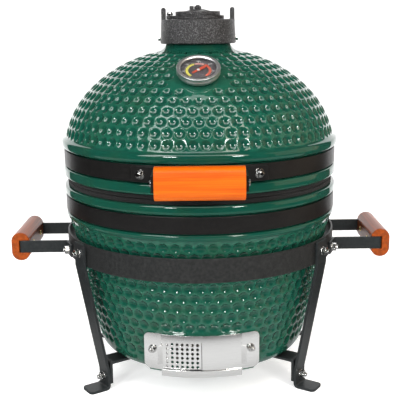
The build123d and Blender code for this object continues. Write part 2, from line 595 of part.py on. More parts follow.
with BuildPart() as hinge_bush:
    with BuildSketch(Plane.YZ):
        with Locations((PIN_Y, PIN_Z)):
            Circle(7.0)
            Circle(PIN_R + RUN_FIT, mode=Mode.SUBTRACT)
    extrude(amount=EAR_IN_X, both=True)
hinge_bush.part.label = "hinge_bush"
export_step(hinge_bush.part, "parts/hinge_bush.step")

with BuildPart() as hinge_pin:
    with BuildSketch(Plane.YZ):
        with Locations((PIN_Y, PIN_Z)):
            Circle(PIN_R)
    extrude(amount=EAR_OUT_X + EAR_T + 5.5, both=True)
    with BuildSketch(Plane.YZ.offset(EAR_OUT_X + EAR_T)):
        with Locations((PIN_Y, PIN_Z)):
            Circle(7.0)
    extrude(amount=3.5, taper=20)
    with BuildSketch(Plane.YZ.offset(-(EAR_OUT_X + EAR_T))):
        with Locations((PIN_Y, PIN_Z)):
            RegularPolygon(radius=6.5, side_count=6, major_radius=False)
    extrude(amount=-4.5)
hinge_pin.part.label = "hinge_pin"
export_step(hinge_pin.part, "parts/hinge_pin.step")

hinge_bolt = fastener(BAND_T + 0.1 + PLATE_T + HEAD_GAP, 2.5, 4.2, 1.5, 8.0, 4.0, 5.4, 2.0)
for label, z in (("hinge_lower_bolts", BASE_BAND_Z), ("hinge_upper_bolts", LID_BAND_Z)):
    with BuildPart() as hinge_bolts:
        for azimuth in (90 - HINGE_BOLT_AZ, 90 + HINGE_BOLT_AZ):
            with Locations(radial_plane(azimuth, BAND_R - BAND_T - HEAD_GAP, z + BAND_H / 2)):
                add(hinge_bolt)
    hinge_bolts.part.label = label
    export_step(hinge_bolts.part, f"parts/{label}.step")

# ================================================================ lid handle
LID_TAB_R = BAND_R + 0.1 + LID_ARM_T / 2
LID_TAB_DIR = radians(LID_BOLT_AZ)
LID_TAB_X, LID_TAB_Y = LID_TAB_R * sin(LID_TAB_DIR), LID_TAB_R * cos(LID_TAB_DIR)
LID_ARM_X = LID_GRIP_L / 2 + 0.2 + LID_ARM_T / 2
LID_ROOT_Y = LID_TAB_Y + (LID_TAB_X - LID_ARM_X) * sin(LID_TAB_DIR) / cos(LID_TAB_DIR)
for name, side in (("left", -1), ("right", 1)):
    with BuildPart() as lid_bracket:
        # tab on the lid band, then an arm forwards to the end of the grip
        with BuildSketch(Plane.XY.offset(LID_BAND_Z + (BAND_H - LID_ARM_H) / 2)):
            with BuildLine():
                FilletPolyline((side * (LID_TAB_X + 13 * cos(LID_TAB_DIR)),
                                -LID_TAB_Y + 13 * sin(LID_TAB_DIR)),
                               (side * LID_ARM_X, -LID_ROOT_Y), (side * LID_ARM_X, LID_GRIP_Y - 9), radius=3)
            trace(line_width=LID_ARM_T)
        extrude(amount=LID_ARM_H)
        with Locations(radial_plane(FRONT + side * LID_BOLT_AZ, LID_TAB_R, LID_BAND_Z + BAND_H / 2)):
            Cylinder(3.2, 8, mode=Mode.SUBTRACT)
        with Locations((side * LID_ARM_X, LID_GRIP_Y, LID_GRIP_Z)):
            Cylinder(2.3, 8, rotation=(0, 90, 0), mode=Mode.SUBTRACT)
    lid_bracket.part.label = f"lid_bracket_{name}"
    export_step(lid_bracket.part, f"parts/lid_bracket_{name}.step")

with BuildPart() as lid_grip:
    with BuildSketch(Plane.YZ):
        with Locations((LID_GRIP_Y, LID_GRIP_Z)):
            SlotOverall(GRIP_H, GRIP_W, rotation=90)
    extrude(amount=LID_GRIP_L / 2, both=True)
    fillet(lid_grip.edges().filter_by(GeomType.CIRCLE), radius=1.2)
    with Locations((0, LID_GRIP_Y, LID_GRIP_Z)):
        Cylinder(2.1, LID_GRIP_L + 2, rotation=(0, 90, 0), mode=Mode.SUBTRACT)
lid_grip.part.label = "lid_grip"
export_step(lid_grip.part, "parts/lid_grip.step")

with BuildPart() as lid_grip_screws:
    for side in (-1, 1):
        with BuildSketch(Plane.YZ.offset(side * (LID_ARM_X + LID_ARM_T / 2))):
            with Locations((LID_GRIP_Y, LID_GRIP_Z)):
                Circle(4.5)
        extrude(amount=side * 2.2, taper=25)
        with BuildSketch(Plane.YZ.offset(side * (LID_ARM_X + LID_ARM_T / 2))):
            with Locations((LID_GRIP_Y, LID_GRIP_Z)):
                Circle(2.0)
        extrude(amount=-side * 26)
lid_grip_screws.part.label = "lid_grip_screws"
export_step(lid_grip_screws.part, "parts/lid_grip_screws.step")

lid_bolt = fastener(BAND_T + 0.1 + LID_ARM_T + HEAD_GAP, 3.0, 5.0, 1.5, 9.0, 4.5, 6.2, 2.5)
with BuildPart() as lid_handle_bolts:
    for side in (-1, 1):
        with Locations(radial_plane(FRONT + side * LID_BOLT_AZ, BAND_R - BAND_T - HEAD_GAP,
                                    LID_BAND_Z + BAND_H / 2)):
            add(lid_bolt)
lid_handle_bolts.part.label = "lid_handle_bolts"
export_step(lid_handle_bolts.part, "parts/lid_handle_bolts.step")

# ================================================================ thermometer, from the bezel's front plane
with BuildPart() as thermo_case:
    with BuildSketch(Plane(origin=GAUGE.origin, x_dir=GAUGE.x_dir, z_dir=GAUGE.y_dir)):
        with BuildLine():
            Polyline((5.0, 11.5), (25.0, 11.5), (27.0, 9.5), (27.0, 1.4), (25.0, 1.4), (25.0, 9.8),
                     (5.0, 9.8), close=True)
        make_face()
    revolve(axis=Axis(GAUGE.origin, GAUGE.z_dir))
thermo_case.part.label = "thermo_case"
export_step(thermo_case.part, "parts/thermo_case.step")

with BuildPart() as thermo_bezel:
    with BuildSketch(Plane(origin=GAUGE.origin, x_dir=GAUGE.x_dir, z_dir=GAUGE.y_dir)):
        with BuildLine():
            Polyline((27.1, 7.0), (GAUGE_R, 7.0), (GAUGE_R, 1.2), (GAUGE_R - 1.2, 0), (24.4, 0), (23.2, 1.2),
                     (27.1, 1.2), close=True)
        make_face()
    revolve(axis=Axis(GAUGE.origin, GAUGE.z_dir))
thermo_bezel.part.label = "thermo_bezel"
export_step(thermo_bezel.part, "parts/thermo_bezel.step")

with BuildPart() as thermo_lens:
    with BuildSketch(GAUGE.offset(-2.9)):
        Circle(24.9)
    extrude(amount=1.4)
thermo_lens.part.label = "thermo_lens"
export_step(thermo_lens.part, "parts/thermo_lens.step")

DIAL_DEPTH = 6.0
with BuildPart() as thermo_dial:
    with BuildSketch(GAUGE.offset(-DIAL_DEPTH - 0.8)):
        Circle(24.9)
        Circle(0.9, mode=Mode.SUBTRACT)
    extrude(amount=0.8)
thermo_dial.part.label = "thermo_dial"
export_step(thermo_dial.part, "parts/thermo_dial.step")

POINTER_DIR = 41.0         # direction of the tip on the dial, from the dial's right
with BuildPart() as thermo_pointer:
    with BuildSketch(GAUGE.offset(-DIAL_DEPTH + 0.9)):
        with Locations(Location((0, 0, 0), (0, 0, POINTER_DIR))):
            Polygon((0, -1.3), (8, -2.6), (16.5, 0), (8, 2.6), (0, 1.3), (-9, 1.8), (-11, 0), (-9, -1.8),
                    align=None)
        Circle(2.6)
    extrude(amount=0.6)
    with BuildSketch(GAUGE.offset(-DIAL_DEPTH - 2.2)):
        Circle(0.9 - RUN_FIT)
    extrude(amount=3.8)
thermo_pointer.part.label = "thermo_pointer"
export_step(thermo_pointer.part, "parts/thermo_pointer.step")

with BuildPart() as thermo_probe:
    # threaded collar through the lid and a thin stem into the dome
    with BuildSketch(GAUGE.offset(-38)):
        Circle(4.8)
    extrude(amount=29.0)
    with BuildSketch(GAUGE.offset(-95)):
        Circle(2.0)
    extrude(amount=57.5)
thermo_probe.part.label = "thermo_probe"
export_step(thermo_probe.part, "parts/thermo_probe.step")

with BuildPart() as thermo_nut:
    with BuildSketch(GAUGE.offset(-37)):
        RegularPolygon(radius=8.0, side_count=6, major_radius=False)
        Circle(4.85, mode=Mode.SUBTRACT)
    extrude(amount=4.5)
thermo_nut.part.label = "thermo_nut"
export_step(thermo_nut.part, "parts/thermo_nut.step")

# ================================================================ top vent
LUG_X0, LUG_X1, LUG_HALF_Y, LUG_TOP_Z = 45.2, 51.6, 5.0, 531.5
with BuildPart() as vent_base:
    # cap that clamps over the neck, with a round outlet and two upright lugs
    with BuildSketch(Plane.XZ):
        with BuildLine():
            Polyline((46.5, VENT_Z0), (VENT_R0 - 1, VENT_Z0), (VENT_R0, VENT_Z0 + 1.5),
                     (VENT_R1, VENT_Z1 - 1.2), (VENT_R1 - 1.2, VENT_Z1), (VENT_BORE_R, VENT_Z1),
                     (VENT_BORE_R, VENT_Z1 - 7), (41, VENT_Z1 - 7), (41, NECK_Z + 1.0),
                     (46.5, NECK_Z + 1.0), close=True)
        make_face()
    revolve(axis=Axis.Z)
    for side in (-1, 1):
        with BuildSketch(Plane.XZ):
            with Locations((side * (LUG_X0 + LUG_X1) / 2, (VENT_Z1 - 8 + LUG_TOP_Z) / 2)):
                SlotOverall(LUG_TOP_Z - VENT_Z1 + 8, LUG_X1 - LUG_X0, rotation=90)
        extrude(amount=LUG_HALF_Y, both=True)
    with Locations((PIVOT_X, 0, VENT_Z1 - 4)):
        Cylinder(2.5, 12, mode=Mode.SUBTRACT)
    for side in (-1, 1):
        with Locations((side * 50, 0, 489)):
            Cylinder(2.3, 14, rotation=(0, 90, 0), mode=Mode.SUBTRACT)
vent_base.part.label = "vent_base"
export_step(vent_base.part, "parts/vent_base.step")

with BuildPart() as vent_gasket:
    with BuildSketch(Plane.XY.offset(VENT_Z0 + 2.5)):
        Circle(46.4)
        Circle(NECK_R + 0.1, mode=Mode.SUBTRACT)
    extrude(amount=NECK_Z - VENT_Z0 - 3)
vent_gasket.part.label = "vent_gasket"
export_step(vent_gasket.part, "parts/vent_gasket.step")

with BuildPart() as vent_clamp_screws:
    for side in (-1, 1):
        with BuildSketch(Plane.YZ.offset(side * 46.5)):
            with Locations((0, 489)):
                Circle(2.2)
        extrude(amount=side * 7.5)
        with BuildSketch(Plane.YZ.offset(side * 53.6)):
            with Locations((0, 489)):
                RegularPolygon(radius=3.3, side_count=6, major_radius=False)
        extrude(amount=side * 3.0)
vent_clamp_screws.part.label = "vent_clamp_screws"
export_step(vent_clamp_screws.part, "parts/vent_clamp_screws.step")

with BuildPart() as vent_pivot_bolt:
    with BuildSketch(Plane.XZ):
        with BuildLine():
            Polyline((0, VENT_Z1 - 6), (2.5, VENT_Z1 - 6), (2.5, 520.7), (4.3, 520.7), (4.3, 523.4),
                     (3.1, 525.6), (0, 526.5), close=True)
        make_face()
    revolve(axis=Axis.Z)
vent_pivot_bolt = vent_pivot_bolt.part.moved(Location((PIVOT_X, 0, 0)))
vent_pivot_bolt.label = "vent_pivot_bolt"
export_step(vent_pivot_bolt, "parts/vent_pivot_bolt.step")

with BuildPart() as vent_slide:
    # round plate with a pivot ear and petal openings
    with BuildSketch(Plane.XY.offset(SLIDE_Z0)):
        Circle(SLIDE_R)
        with Locations((PIVOT_X, 0)):
            Circle(5.0)
        with PolarLocations(19.5, PETALS, start_angle=0):
            SlotOverall(15, 9, mode=Mode.SUBTRACT)
        with Locations((PIVOT_X, 0)):
            Circle(2.5 + RUN_FIT, mode=Mode.SUBTRACT)
        Circle(3.0 + RUN_FIT, mode=Mode.SUBTRACT)
    extrude(amount=SLIDE_T)
    with Locations((0, 0, SLIDE_Z0 + 1.1)):
        Cylinder(6.6, 2.2, mode=Mode.SUBTRACT)
vent_slide.part.label = "vent_slide"
export_step(vent_slide.part, "parts/vent_slide.step")

with BuildPart() as daisy_wheel:
    # rotating disc with a low cone on top and a small finger lug beside its middle
    with BuildSketch(Plane.XZ):
        with BuildLine():
            Polyline((0, DAISY_Z0), (DAISY_R, DAISY_Z0), (DAISY_R, DAISY_Z0 + DAISY_T),
                     (18, DAISY_Z0 + DAISY_T + 0.6), (8, DAISY_TOP_Z), (0, DAISY_TOP_Z), close=True)
        make_face()
    revolve(axis=Axis.Z)
    with BuildSketch(Plane.XY.offset(DAISY_Z0 - 1)):
        with PolarLocations(19.5, PETALS, start_angle=180 / PETALS):
            SlotOverall(15, 9)
        Circle(3.0)
    extrude(amount=12, mode=Mode.SUBTRACT)
    with Locations((-8.6, 0, DAISY_TOP_Z + 1.4)):
        Box(6.0, 3.6, 6.0)
daisy_wheel.part.label = "daisy_wheel"
export_step(daisy_wheel.part, "parts/daisy_wheel.step")

with BuildPart() as vent_knob:
    with BuildSketch(Plane.XZ):
        with BuildLine():
            Polyline((0, SLIDE_Z0 + 0.3), (6.3, SLIDE_Z0 + 0.3), (6.3, SLIDE_Z0 + 1.9), (3.0, SLIDE_Z0 + 1.9),
                     (3.0, KNOB_TOP_Z - 0.8), (2.2, KNOB_TOP_Z), (0, KNOB_TOP_Z), close=True)
        make_face()
    revolve(axis=Axis.Z)
    with BuildSketch(Plane.XY.offset(DAISY_TOP_Z)):
        RegularPolygon(radius=4.4, side_count=6, major_radius=False)
    extrude(amount=4.0)
vent_knob.part.label = "vent_knob"
export_step(vent_knob.part, "parts/vent_knob.step")
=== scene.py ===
"""Looks of a dimpled ceramic egg grill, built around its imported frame.

Lengths are millimetres until a mesh is made; the stage, the camera and the lights are in metres.
"""
import json
import math

import bmesh
import bpy
import numpy as np
from mathutils import Matrix, Vector, noise
from mathutils.geometry import delaunay_2d_cdt

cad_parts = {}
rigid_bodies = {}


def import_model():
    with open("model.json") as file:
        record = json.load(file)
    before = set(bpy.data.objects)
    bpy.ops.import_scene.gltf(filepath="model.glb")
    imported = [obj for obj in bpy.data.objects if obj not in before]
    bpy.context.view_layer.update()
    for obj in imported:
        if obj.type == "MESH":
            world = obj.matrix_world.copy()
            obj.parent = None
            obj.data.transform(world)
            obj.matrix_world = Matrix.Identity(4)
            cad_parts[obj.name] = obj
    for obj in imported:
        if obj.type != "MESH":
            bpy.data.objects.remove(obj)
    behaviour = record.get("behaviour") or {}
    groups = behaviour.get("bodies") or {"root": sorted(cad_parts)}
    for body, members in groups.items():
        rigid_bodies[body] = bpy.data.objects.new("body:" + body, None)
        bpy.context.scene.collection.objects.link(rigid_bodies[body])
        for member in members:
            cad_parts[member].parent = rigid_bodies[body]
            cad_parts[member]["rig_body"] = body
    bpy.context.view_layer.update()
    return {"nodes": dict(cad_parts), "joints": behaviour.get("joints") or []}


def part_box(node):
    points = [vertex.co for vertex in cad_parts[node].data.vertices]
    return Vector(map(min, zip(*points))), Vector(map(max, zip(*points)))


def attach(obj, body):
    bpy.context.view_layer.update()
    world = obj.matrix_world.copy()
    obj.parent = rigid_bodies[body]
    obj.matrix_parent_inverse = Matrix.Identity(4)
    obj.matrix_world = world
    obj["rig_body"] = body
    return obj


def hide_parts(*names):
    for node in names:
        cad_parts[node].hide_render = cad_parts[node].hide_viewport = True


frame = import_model()
NODES = frame["nodes"]
MM = 0.001
FRONT = -90.0                     # azimuth of the front, in degrees about Z
NEAR_AXIS = 0.001                 # radius at which a turned end is closed, in either unit


def box_mm(node):
    """A CAD node's lowest and highest corners, to a tenth of a millimetre."""
    return [[round(c / MM, 1) for c in corner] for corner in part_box(node)]


# ================================================================ materials
def new_material(name, color, roughness, metallic=0.0, **sockets):
    """A principled material; the keyword names are socket names with _ for a space."""
    mat = bpy.data.materials.new(name)
    mat.use_nodes = True
    shader = mat.node_tree.nodes["Principled BSDF"]
    shader.inputs["Base Color"].default_value = (*color, 1)
    shader.inputs["Roughness"].default_value = roughness
    shader.inputs["Metallic"].default_value = metallic
    for socket, value in sockets.items():
        shader.inputs[socket.replace("_", " ")].default_value = value
    return mat


def add_node(mat, kind, **settings):
    """A shader node; the keywords are names of its sockets or of its properties."""
    node = mat.node_tree.nodes.new(kind)
    for key, value in settings.items():
        if key in node.inputs:
            node.inputs[key].default_value = value
        else:
            setattr(node, key, value)
    return node


def link(mat, output, target):
    mat.node_tree.links.new(output, target)


def shader_of(mat):
    return mat.node_tree.nodes["Principled BSDF"]


def noise_of(mat, scale, detail=4.0, stretch=(1, 1, 1), roughness=0.55):
    """Noise in the object's own coordinates; scale is in features per metre."""
    place = add_node(mat, "ShaderNodeTexCoord")
    mapping = add_node(mat, "ShaderNodeMapping", Scale=stretch)
    tex = add_node(mat, "ShaderNodeTexNoise", Scale=scale, Detail=detail, Roughness=roughness)
    link(mat, place.outputs["Object"], mapping.inputs["Vector"])
    link(mat, mapping.outputs["Vector"], tex.inputs["Vector"])
    return tex.outputs["Fac"]


def ramp_of(mat, value, stops):
    """A colour ramp over value; stops are (position, colour)."""
    ramp = add_node(mat, "ShaderNodeValToRGB")
    elements = ramp.color_ramp.elements
    while len(elements) < len(stops):
        elements.new(0.5)
    for element, (position, color) in zip(elements, stops):
        element.position = position
        element.color = (*color, 1)
    link(mat, value, ramp.inputs["Fac"])
    return ramp.outputs["Color"]


def spread(mat, value, low, high, socket):
    """Drive a scalar socket of the shader from value, between low and high."""
    span = add_node(mat, "ShaderNodeMapRange")
    span.inputs["To Min"].default_value = low
    span.inputs["To Max"].default_value = high
    link(mat, value, span.inputs["Value"])
    link(mat, span.outputs["Result"], shader_of(mat).inputs[socket])


def bump_of(mat, height, strength, distance):
    """Give the shader's normal a fine relief; distance is in metres."""
    bump = add_node(mat, "ShaderNodeBump", Strength=strength, Distance=distance)
    link(mat, height, bump.inputs["Height"])
    link(mat, bump.outputs["Normal"], shader_of(mat).inputs["Normal"])


def paint(mat, color):
    """Colour the shader with a varying colour."""
    link(mat, color, shader_of(mat).inputs["Base Color"])


def paint_blend(mat, first, second, share):
    """Colour the shader with two varying colours, the second one at the given share."""
    mix = add_node(mat, "ShaderNodeMix", data_type="RGBA")
    mix.inputs["Factor"].default_value = share
    link(mat, first, mix.inputs["A"])
    link(mat, second, mix.inputs["B"])
    paint(mat, mix.outputs["Result"])


def darker(color, share):
    return tuple(share * c for c in color)


def glaze_material():
    """Deep green gloss glaze, darker where it pools in a cup and thinner on the ridges."""
    mat = new_material("glaze", (0.013, 0.115, 0.070), 0.07, IOR=1.52)
    cup = add_node(mat, "ShaderNodeAttribute", attribute_name="cup")
    clouds = noise_of(mat, 26, detail=5)
    on_ridge, on_slope, in_cup = (0.009, 0.068, 0.043), (0.004, 0.049, 0.032), (0.002, 0.031, 0.021)
    pooled = ramp_of(mat, cup.outputs["Fac"], [(0.0, on_ridge), (0.35, on_slope), (1.0, in_cup)])
    brown = ramp_of(mat, clouds, [(0.45, (0.007, 0.062, 0.041)), (0.72, (0.020, 0.064, 0.032))])
    paint_blend(mat, pooled, brown, 0.35)
    spread(mat, noise_of(mat, 180, detail=3), 0.02, 0.055, "Roughness")
    bump_of(mat, noise_of(mat, 90, detail=2), 0.04, 0.002)
    return mat


def clay_material():
    """Bare fired clay, sandy and matt."""
    mat = new_material("fired_clay", (0.50, 0.40, 0.29), 0.9)
    paint(mat, ramp_of(mat, noise_of(mat, 130, detail=8),
                       [(0.3, (0.36, 0.27, 0.19)), (0.55, (0.52, 0.42, 0.31)), (0.8, (0.62, 0.52, 0.40))]))
    bump_of(mat, noise_of(mat, 900, detail=6), 0.5, 0.0006)
    return mat


def powder_material(name, dark, light, roughness, bump):
    """Baked powder coat: fine orange peel and a faint mottle."""
    mat = new_material(name, dark, roughness, Specular_IOR_Level=0.32)
    paint(mat, ramp_of(mat, noise_of(mat, 240, detail=4), [(0.35, dark), (0.75, light)]))
    spread(mat, noise_of(mat, 60, detail=5), roughness - 0.06, roughness + 0.08, "Roughness")
    bump_of(mat, noise_of(mat, 1600, detail=2), bump, 0.0004)
    return mat


def cast_iron_material():
    """Grey heat-proof paint over a sandy casting, with painted glints: the highest grains are coloured pale, as
    if they caught light.
    """
    mat = new_material("cast_iron", (0.05, 0.05, 0.052), 0.4, metallic=0.25, Specular_IOR_Level=0.5)
    grain = noise_of(mat, 620, detail=3, roughness=0.7)
    # painted highlight: the palest colour, on the highest grains, stands in for glints
    pit, face, painted_glint = (0.010, 0.010, 0.011), (0.042, 0.042, 0.044), (0.20, 0.20, 0.20)
    paint(mat, ramp_of(mat, grain, [(0.40, pit), (0.55, face), (0.70, painted_glint)]))
    spread(mat, noise_of(mat, 300, detail=3), 0.28, 0.46, "Roughness")
    bump_of(mat, grain, 1.0, 0.0014)
    return mat


def wood_material(name, axis, dark, light, coat):
    """Stained, lacquered bamboo: strips and fine fibres along the given axis, under a clear coat."""
    stretch = [1.0, 1.0, 1.0]
    stretch[axis] = 0.02
    mat = new_material(name, light, 0.4, Specular_IOR_Level=0.15, Coat_Weight=coat,
                       Coat_Roughness=0.09)
    fibres = noise_of(mat, 850, detail=6, stretch=stretch, roughness=0.7)
    strips = noise_of(mat, 210, detail=3, stretch=stretch)
    fine = ramp_of(mat, fibres, [(0.3, darker(dark, 0.75)), (0.5, dark), (0.7, light)])
    broad = ramp_of(mat, strips, [(0.42, dark), (0.58, light)])
    paint_blend(mat, fine, broad, 0.5)
    spread(mat, fibres, 0.34, 0.5, "Roughness")
    bump_of(mat, fibres, 0.25, 0.0003)
    return mat


def brushed_material(name, color, roughness, stretch, strength=0.12):
    """Metal with fine straight scratches."""
    mat = new_material(name, color, roughness, metallic=1.0)
    scratch = noise_of(mat, 1400, detail=4, stretch=stretch, roughness=0.65)
    spread(mat, scratch, roughness - 0.07, roughness + 0.10, "Roughness")
    paint(mat, ramp_of(mat, scratch, [(0.3, darker(color, 0.90)), (0.7, color)]))
    bump_of(mat, scratch, strength, 0.0002)
    return mat


def plated_material(name, color, roughness):
    """Plated fastener: bright with faint cloudy dulling."""
    mat = new_material(name, color, roughness, metallic=1.0)
    cloud = noise_of(mat, 400, detail=3)
    spread(mat, cloud, roughness * 0.6, roughness * 1.6, "Roughness")
    paint(mat, ramp_of(mat, cloud, [(0.3, darker(color, 0.86)), (0.7, color)]))
    return mat


def felt_material():
    """Black felt with pale stray hairs."""
    mat = new_material("felt", (0.014, 0.013, 0.013), 0.95, Sheen_Weight=0.05, Sheen_Roughness=0.5)
    fibre = noise_of(mat, 1500, detail=5, roughness=0.75)
    gap, nap, hair = (0.002, 0.002, 0.002), (0.006, 0.0055, 0.0055), (0.04, 0.037, 0.034)
    paint(mat, ramp_of(mat, fibre, [(0.35, gap), (0.6, nap), (0.85, hair)]))
    bump_of(mat, fibre, 0.9, 0.0012)
    return mat


def ink_material(name, color, roughness=0.5):
    """Printed ink with a slight unevenness."""
    mat = new_material(name, color, roughness)
    paint(mat, ramp_of(mat, noise_of(mat, 700, detail=3), [(0.3, darker(color, 0.85)), (0.7, color)]))
    return mat


def glass_material():
    """Clear glass, slightly smeared."""
    mat = new_material("lens_glass", (0.96, 0.98, 0.98), 0.02, Transmission_Weight=1.0, IOR=1.45)
    spread(mat, noise_of(mat, 60, detail=2), 0.01, 0.04, "Roughness")
    return mat


GLAZE = glaze_material()
CLAY = clay_material()
BAND_COAT = powder_material("band_coat", (0.005, 0.0047, 0.0047), (0.009, 0.0085, 0.008), 0.34, 0.25)
LEG_COAT = powder_material("leg_coat", (0.010, 0.013, 0.014), (0.020, 0.023, 0.024), 0.44, 0.25)
CAST_IRON = cast_iron_material()
RING_COAT = powder_material("ring_coat", (0.008, 0.009, 0.009), (0.022, 0.023, 0.023), 0.42, 0.9)
WOOD_LID = wood_material("bamboo_lid", 0, (0.43, 0.062, 0.0), (0.59, 0.122, 0.0), 0.10)
# painted shade: the side grips are the lid grip's bamboo, coloured darker as if less lit
SHADED_WOOD_SIDE = wood_material("bamboo_side_shaded", 1, (0.18, 0.031, 0.001), (0.33, 0.057, 0.001), 0.2)
# painted shade: the strips on the grips' inner sides, facing the bowl, are the same bamboo coloured darker
# still
SHADED_WOOD_STRIP = wood_material("bamboo_strip_shaded", 1, (0.10, 0.022, 0.004), (0.20, 0.045, 0.008), 0.0)
STAINLESS = brushed_material("stainless", (0.90, 0.90, 0.89), 0.17, (0.04, 0.04, 1.0), 0.006)
WIRE_STEEL = brushed_material("wire_steel", (0.62, 0.62, 0.62), 0.30, (1.0, 0.04, 1.0))
CHROME = plated_material("chrome", (0.62, 0.62, 0.61), 0.13)
BRASS = plated_material("brass", (0.82, 0.60, 0.26), 0.24)
FELT = felt_material()
BEZEL_STEEL = plated_material("bezel_steel", (0.86, 0.86, 0.85), 0.34)
WHITE_INK = ink_material("white_ink", (0.93, 0.93, 0.91))
YELLOW_INK = ink_material("yellow_ink", (0.95, 0.84, 0.14))
PINK_INK = ink_material("pink_ink", (0.95, 0.46, 0.42))
RED_INK = ink_material("red_ink", (0.82, 0.17, 0.10))
DIAL_INK = ink_material("dial_ink", (0.12, 0.105, 0.115), 0.5)
POINTER_RED = ink_material("pointer_red", (0.82, 0.11, 0.05), 0.4)
GLASS = glass_material()


# ================================================================ mesh helpers
def make_object(name, verts, faces, materials, body, stands_for=(), sharp=32.0):
    """A mesh object from millimetre vertices, shaded smooth with sharp edges past an angle."""
    mesh = bpy.data.meshes.new(name)
    mesh.from_pydata([tuple(c * MM for c in v) for v in verts], [], faces)
    mesh.update()
    finish_object(name, mesh, materials, body, stands_for, sharp)


def finish_object(name, mesh, materials, body, stands_for=(), sharp=32.0):
    """An object of a ready mesh, smooth between sharp edges, that rides on its body."""
    for mat in materials:
        mesh.materials.append(mat)
    mesh.shade_smooth()
    mesh.set_sharp_from_angle(angle=math.radians(sharp))
    obj = bpy.data.objects.new(name, mesh)
    bpy.context.scene.collection.objects.link(obj)
    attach(obj, body)
    if stands_for:
        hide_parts(*stands_for)
    return obj


def weld(mesh, distance=1e-6):
    """Join the vertices that meet, and turn every face outwards."""
    bm = bmesh.new()
    bm.from_mesh(mesh)
    bmesh.ops.remove_doubles(bm, verts=bm.verts, dist=distance)
    bmesh.ops.recalc_face_normals(bm, faces=bm.faces)
    bm.to_mesh(mesh)
    bm.free()


def smooth_path(points, steps):
    """A Catmull-Rom curve through (radius, height) points."""
    knots = [np.array(q, float) for q in points]
    knots = [2 * knots[0] - knots[1], *knots, 2 * knots[-1] - knots[-2]]
    out = []
    for a, b, c, d in zip(knots, knots[1:], knots[2:], knots[3:]):
        for k in range(steps):
            t = k / steps
            out.append(0.5 * (2 * b + (c - a) * t + (2 * a - 5 * b + 4 * c - d) * t ** 2
                              + (3 * b - a - 3 * c + d) * t ** 3))
    out.append(knots[-2])
    return [tuple(q) for q in out]


def rounded_path(points, radius, steps=5):
    """A polyline whose inner corners are rounded off."""
    out = [points[0]]
    for a, b, c in zip(points, points[1:], points[2:]):
        a, b, c = (np.array(q, float) for q in (a, b, c))
        reach = min(radius, 0.45 * np.linalg.norm(b - a), 0.45 * np.linalg.norm(c - b))
        start = b + (a - b) / np.linalg.norm(a - b) * reach
        end = b + (c - b) / np.linalg.norm(c - b) * reach
        for k in range(steps + 1):
            t = k / steps
            out.append(tuple((1 - t) ** 2 * start + 2 * t * (1 - t) * b + t ** 2 * end))
    out.append(points[-1])
    return out


def lathe(path, segments):
    """Vertices and faces of a path of (radius, height) turned about Z."""
    verts, faces = [], []
    for r, z in path:
        for k in range(segments):
            a = 2 * math.pi * k / segments
            verts.append((r * math.cos(a), r * math.sin(a), z))
    for i in range(len(path) - 1):
        for k in range(segments):
            n = (k + 1) % segments
            faces.append((i * segments + k, i * segments + n, (i + 1) * segments + n, (i + 1) * segments + k))
    return verts, faces


# ================================================================ dimpled ceramic
SEGMENTS = 216
CUP_PITCH, ROW_PITCH = 16.0, 14.8
CUP_R, CUP_DEPTH = 7.05, 2.9
CUP_SIDES = 20
CUP_RINGS = ((0.36, 0.890), (0.64, 0.630), (0.84, 0.300), (0.96, 0.080), (1.045, 0.0))  # of radius, of depth
SHADED_SMOOTH_GLAZE = 0.7                # painted shade: the smooth glazed bands are coloured nearly as dark as the glaze in a cup
CUP_WIDEN = 1.05                  # cups are a little wider than they are high
CERAMIC_SHARP = 60.0              # degrees between faces at which the ceramic shows an edge
CERAMIC = [GLAZE, CLAY]
GLAZED, BARE = 0, 1               # places in CERAMIC


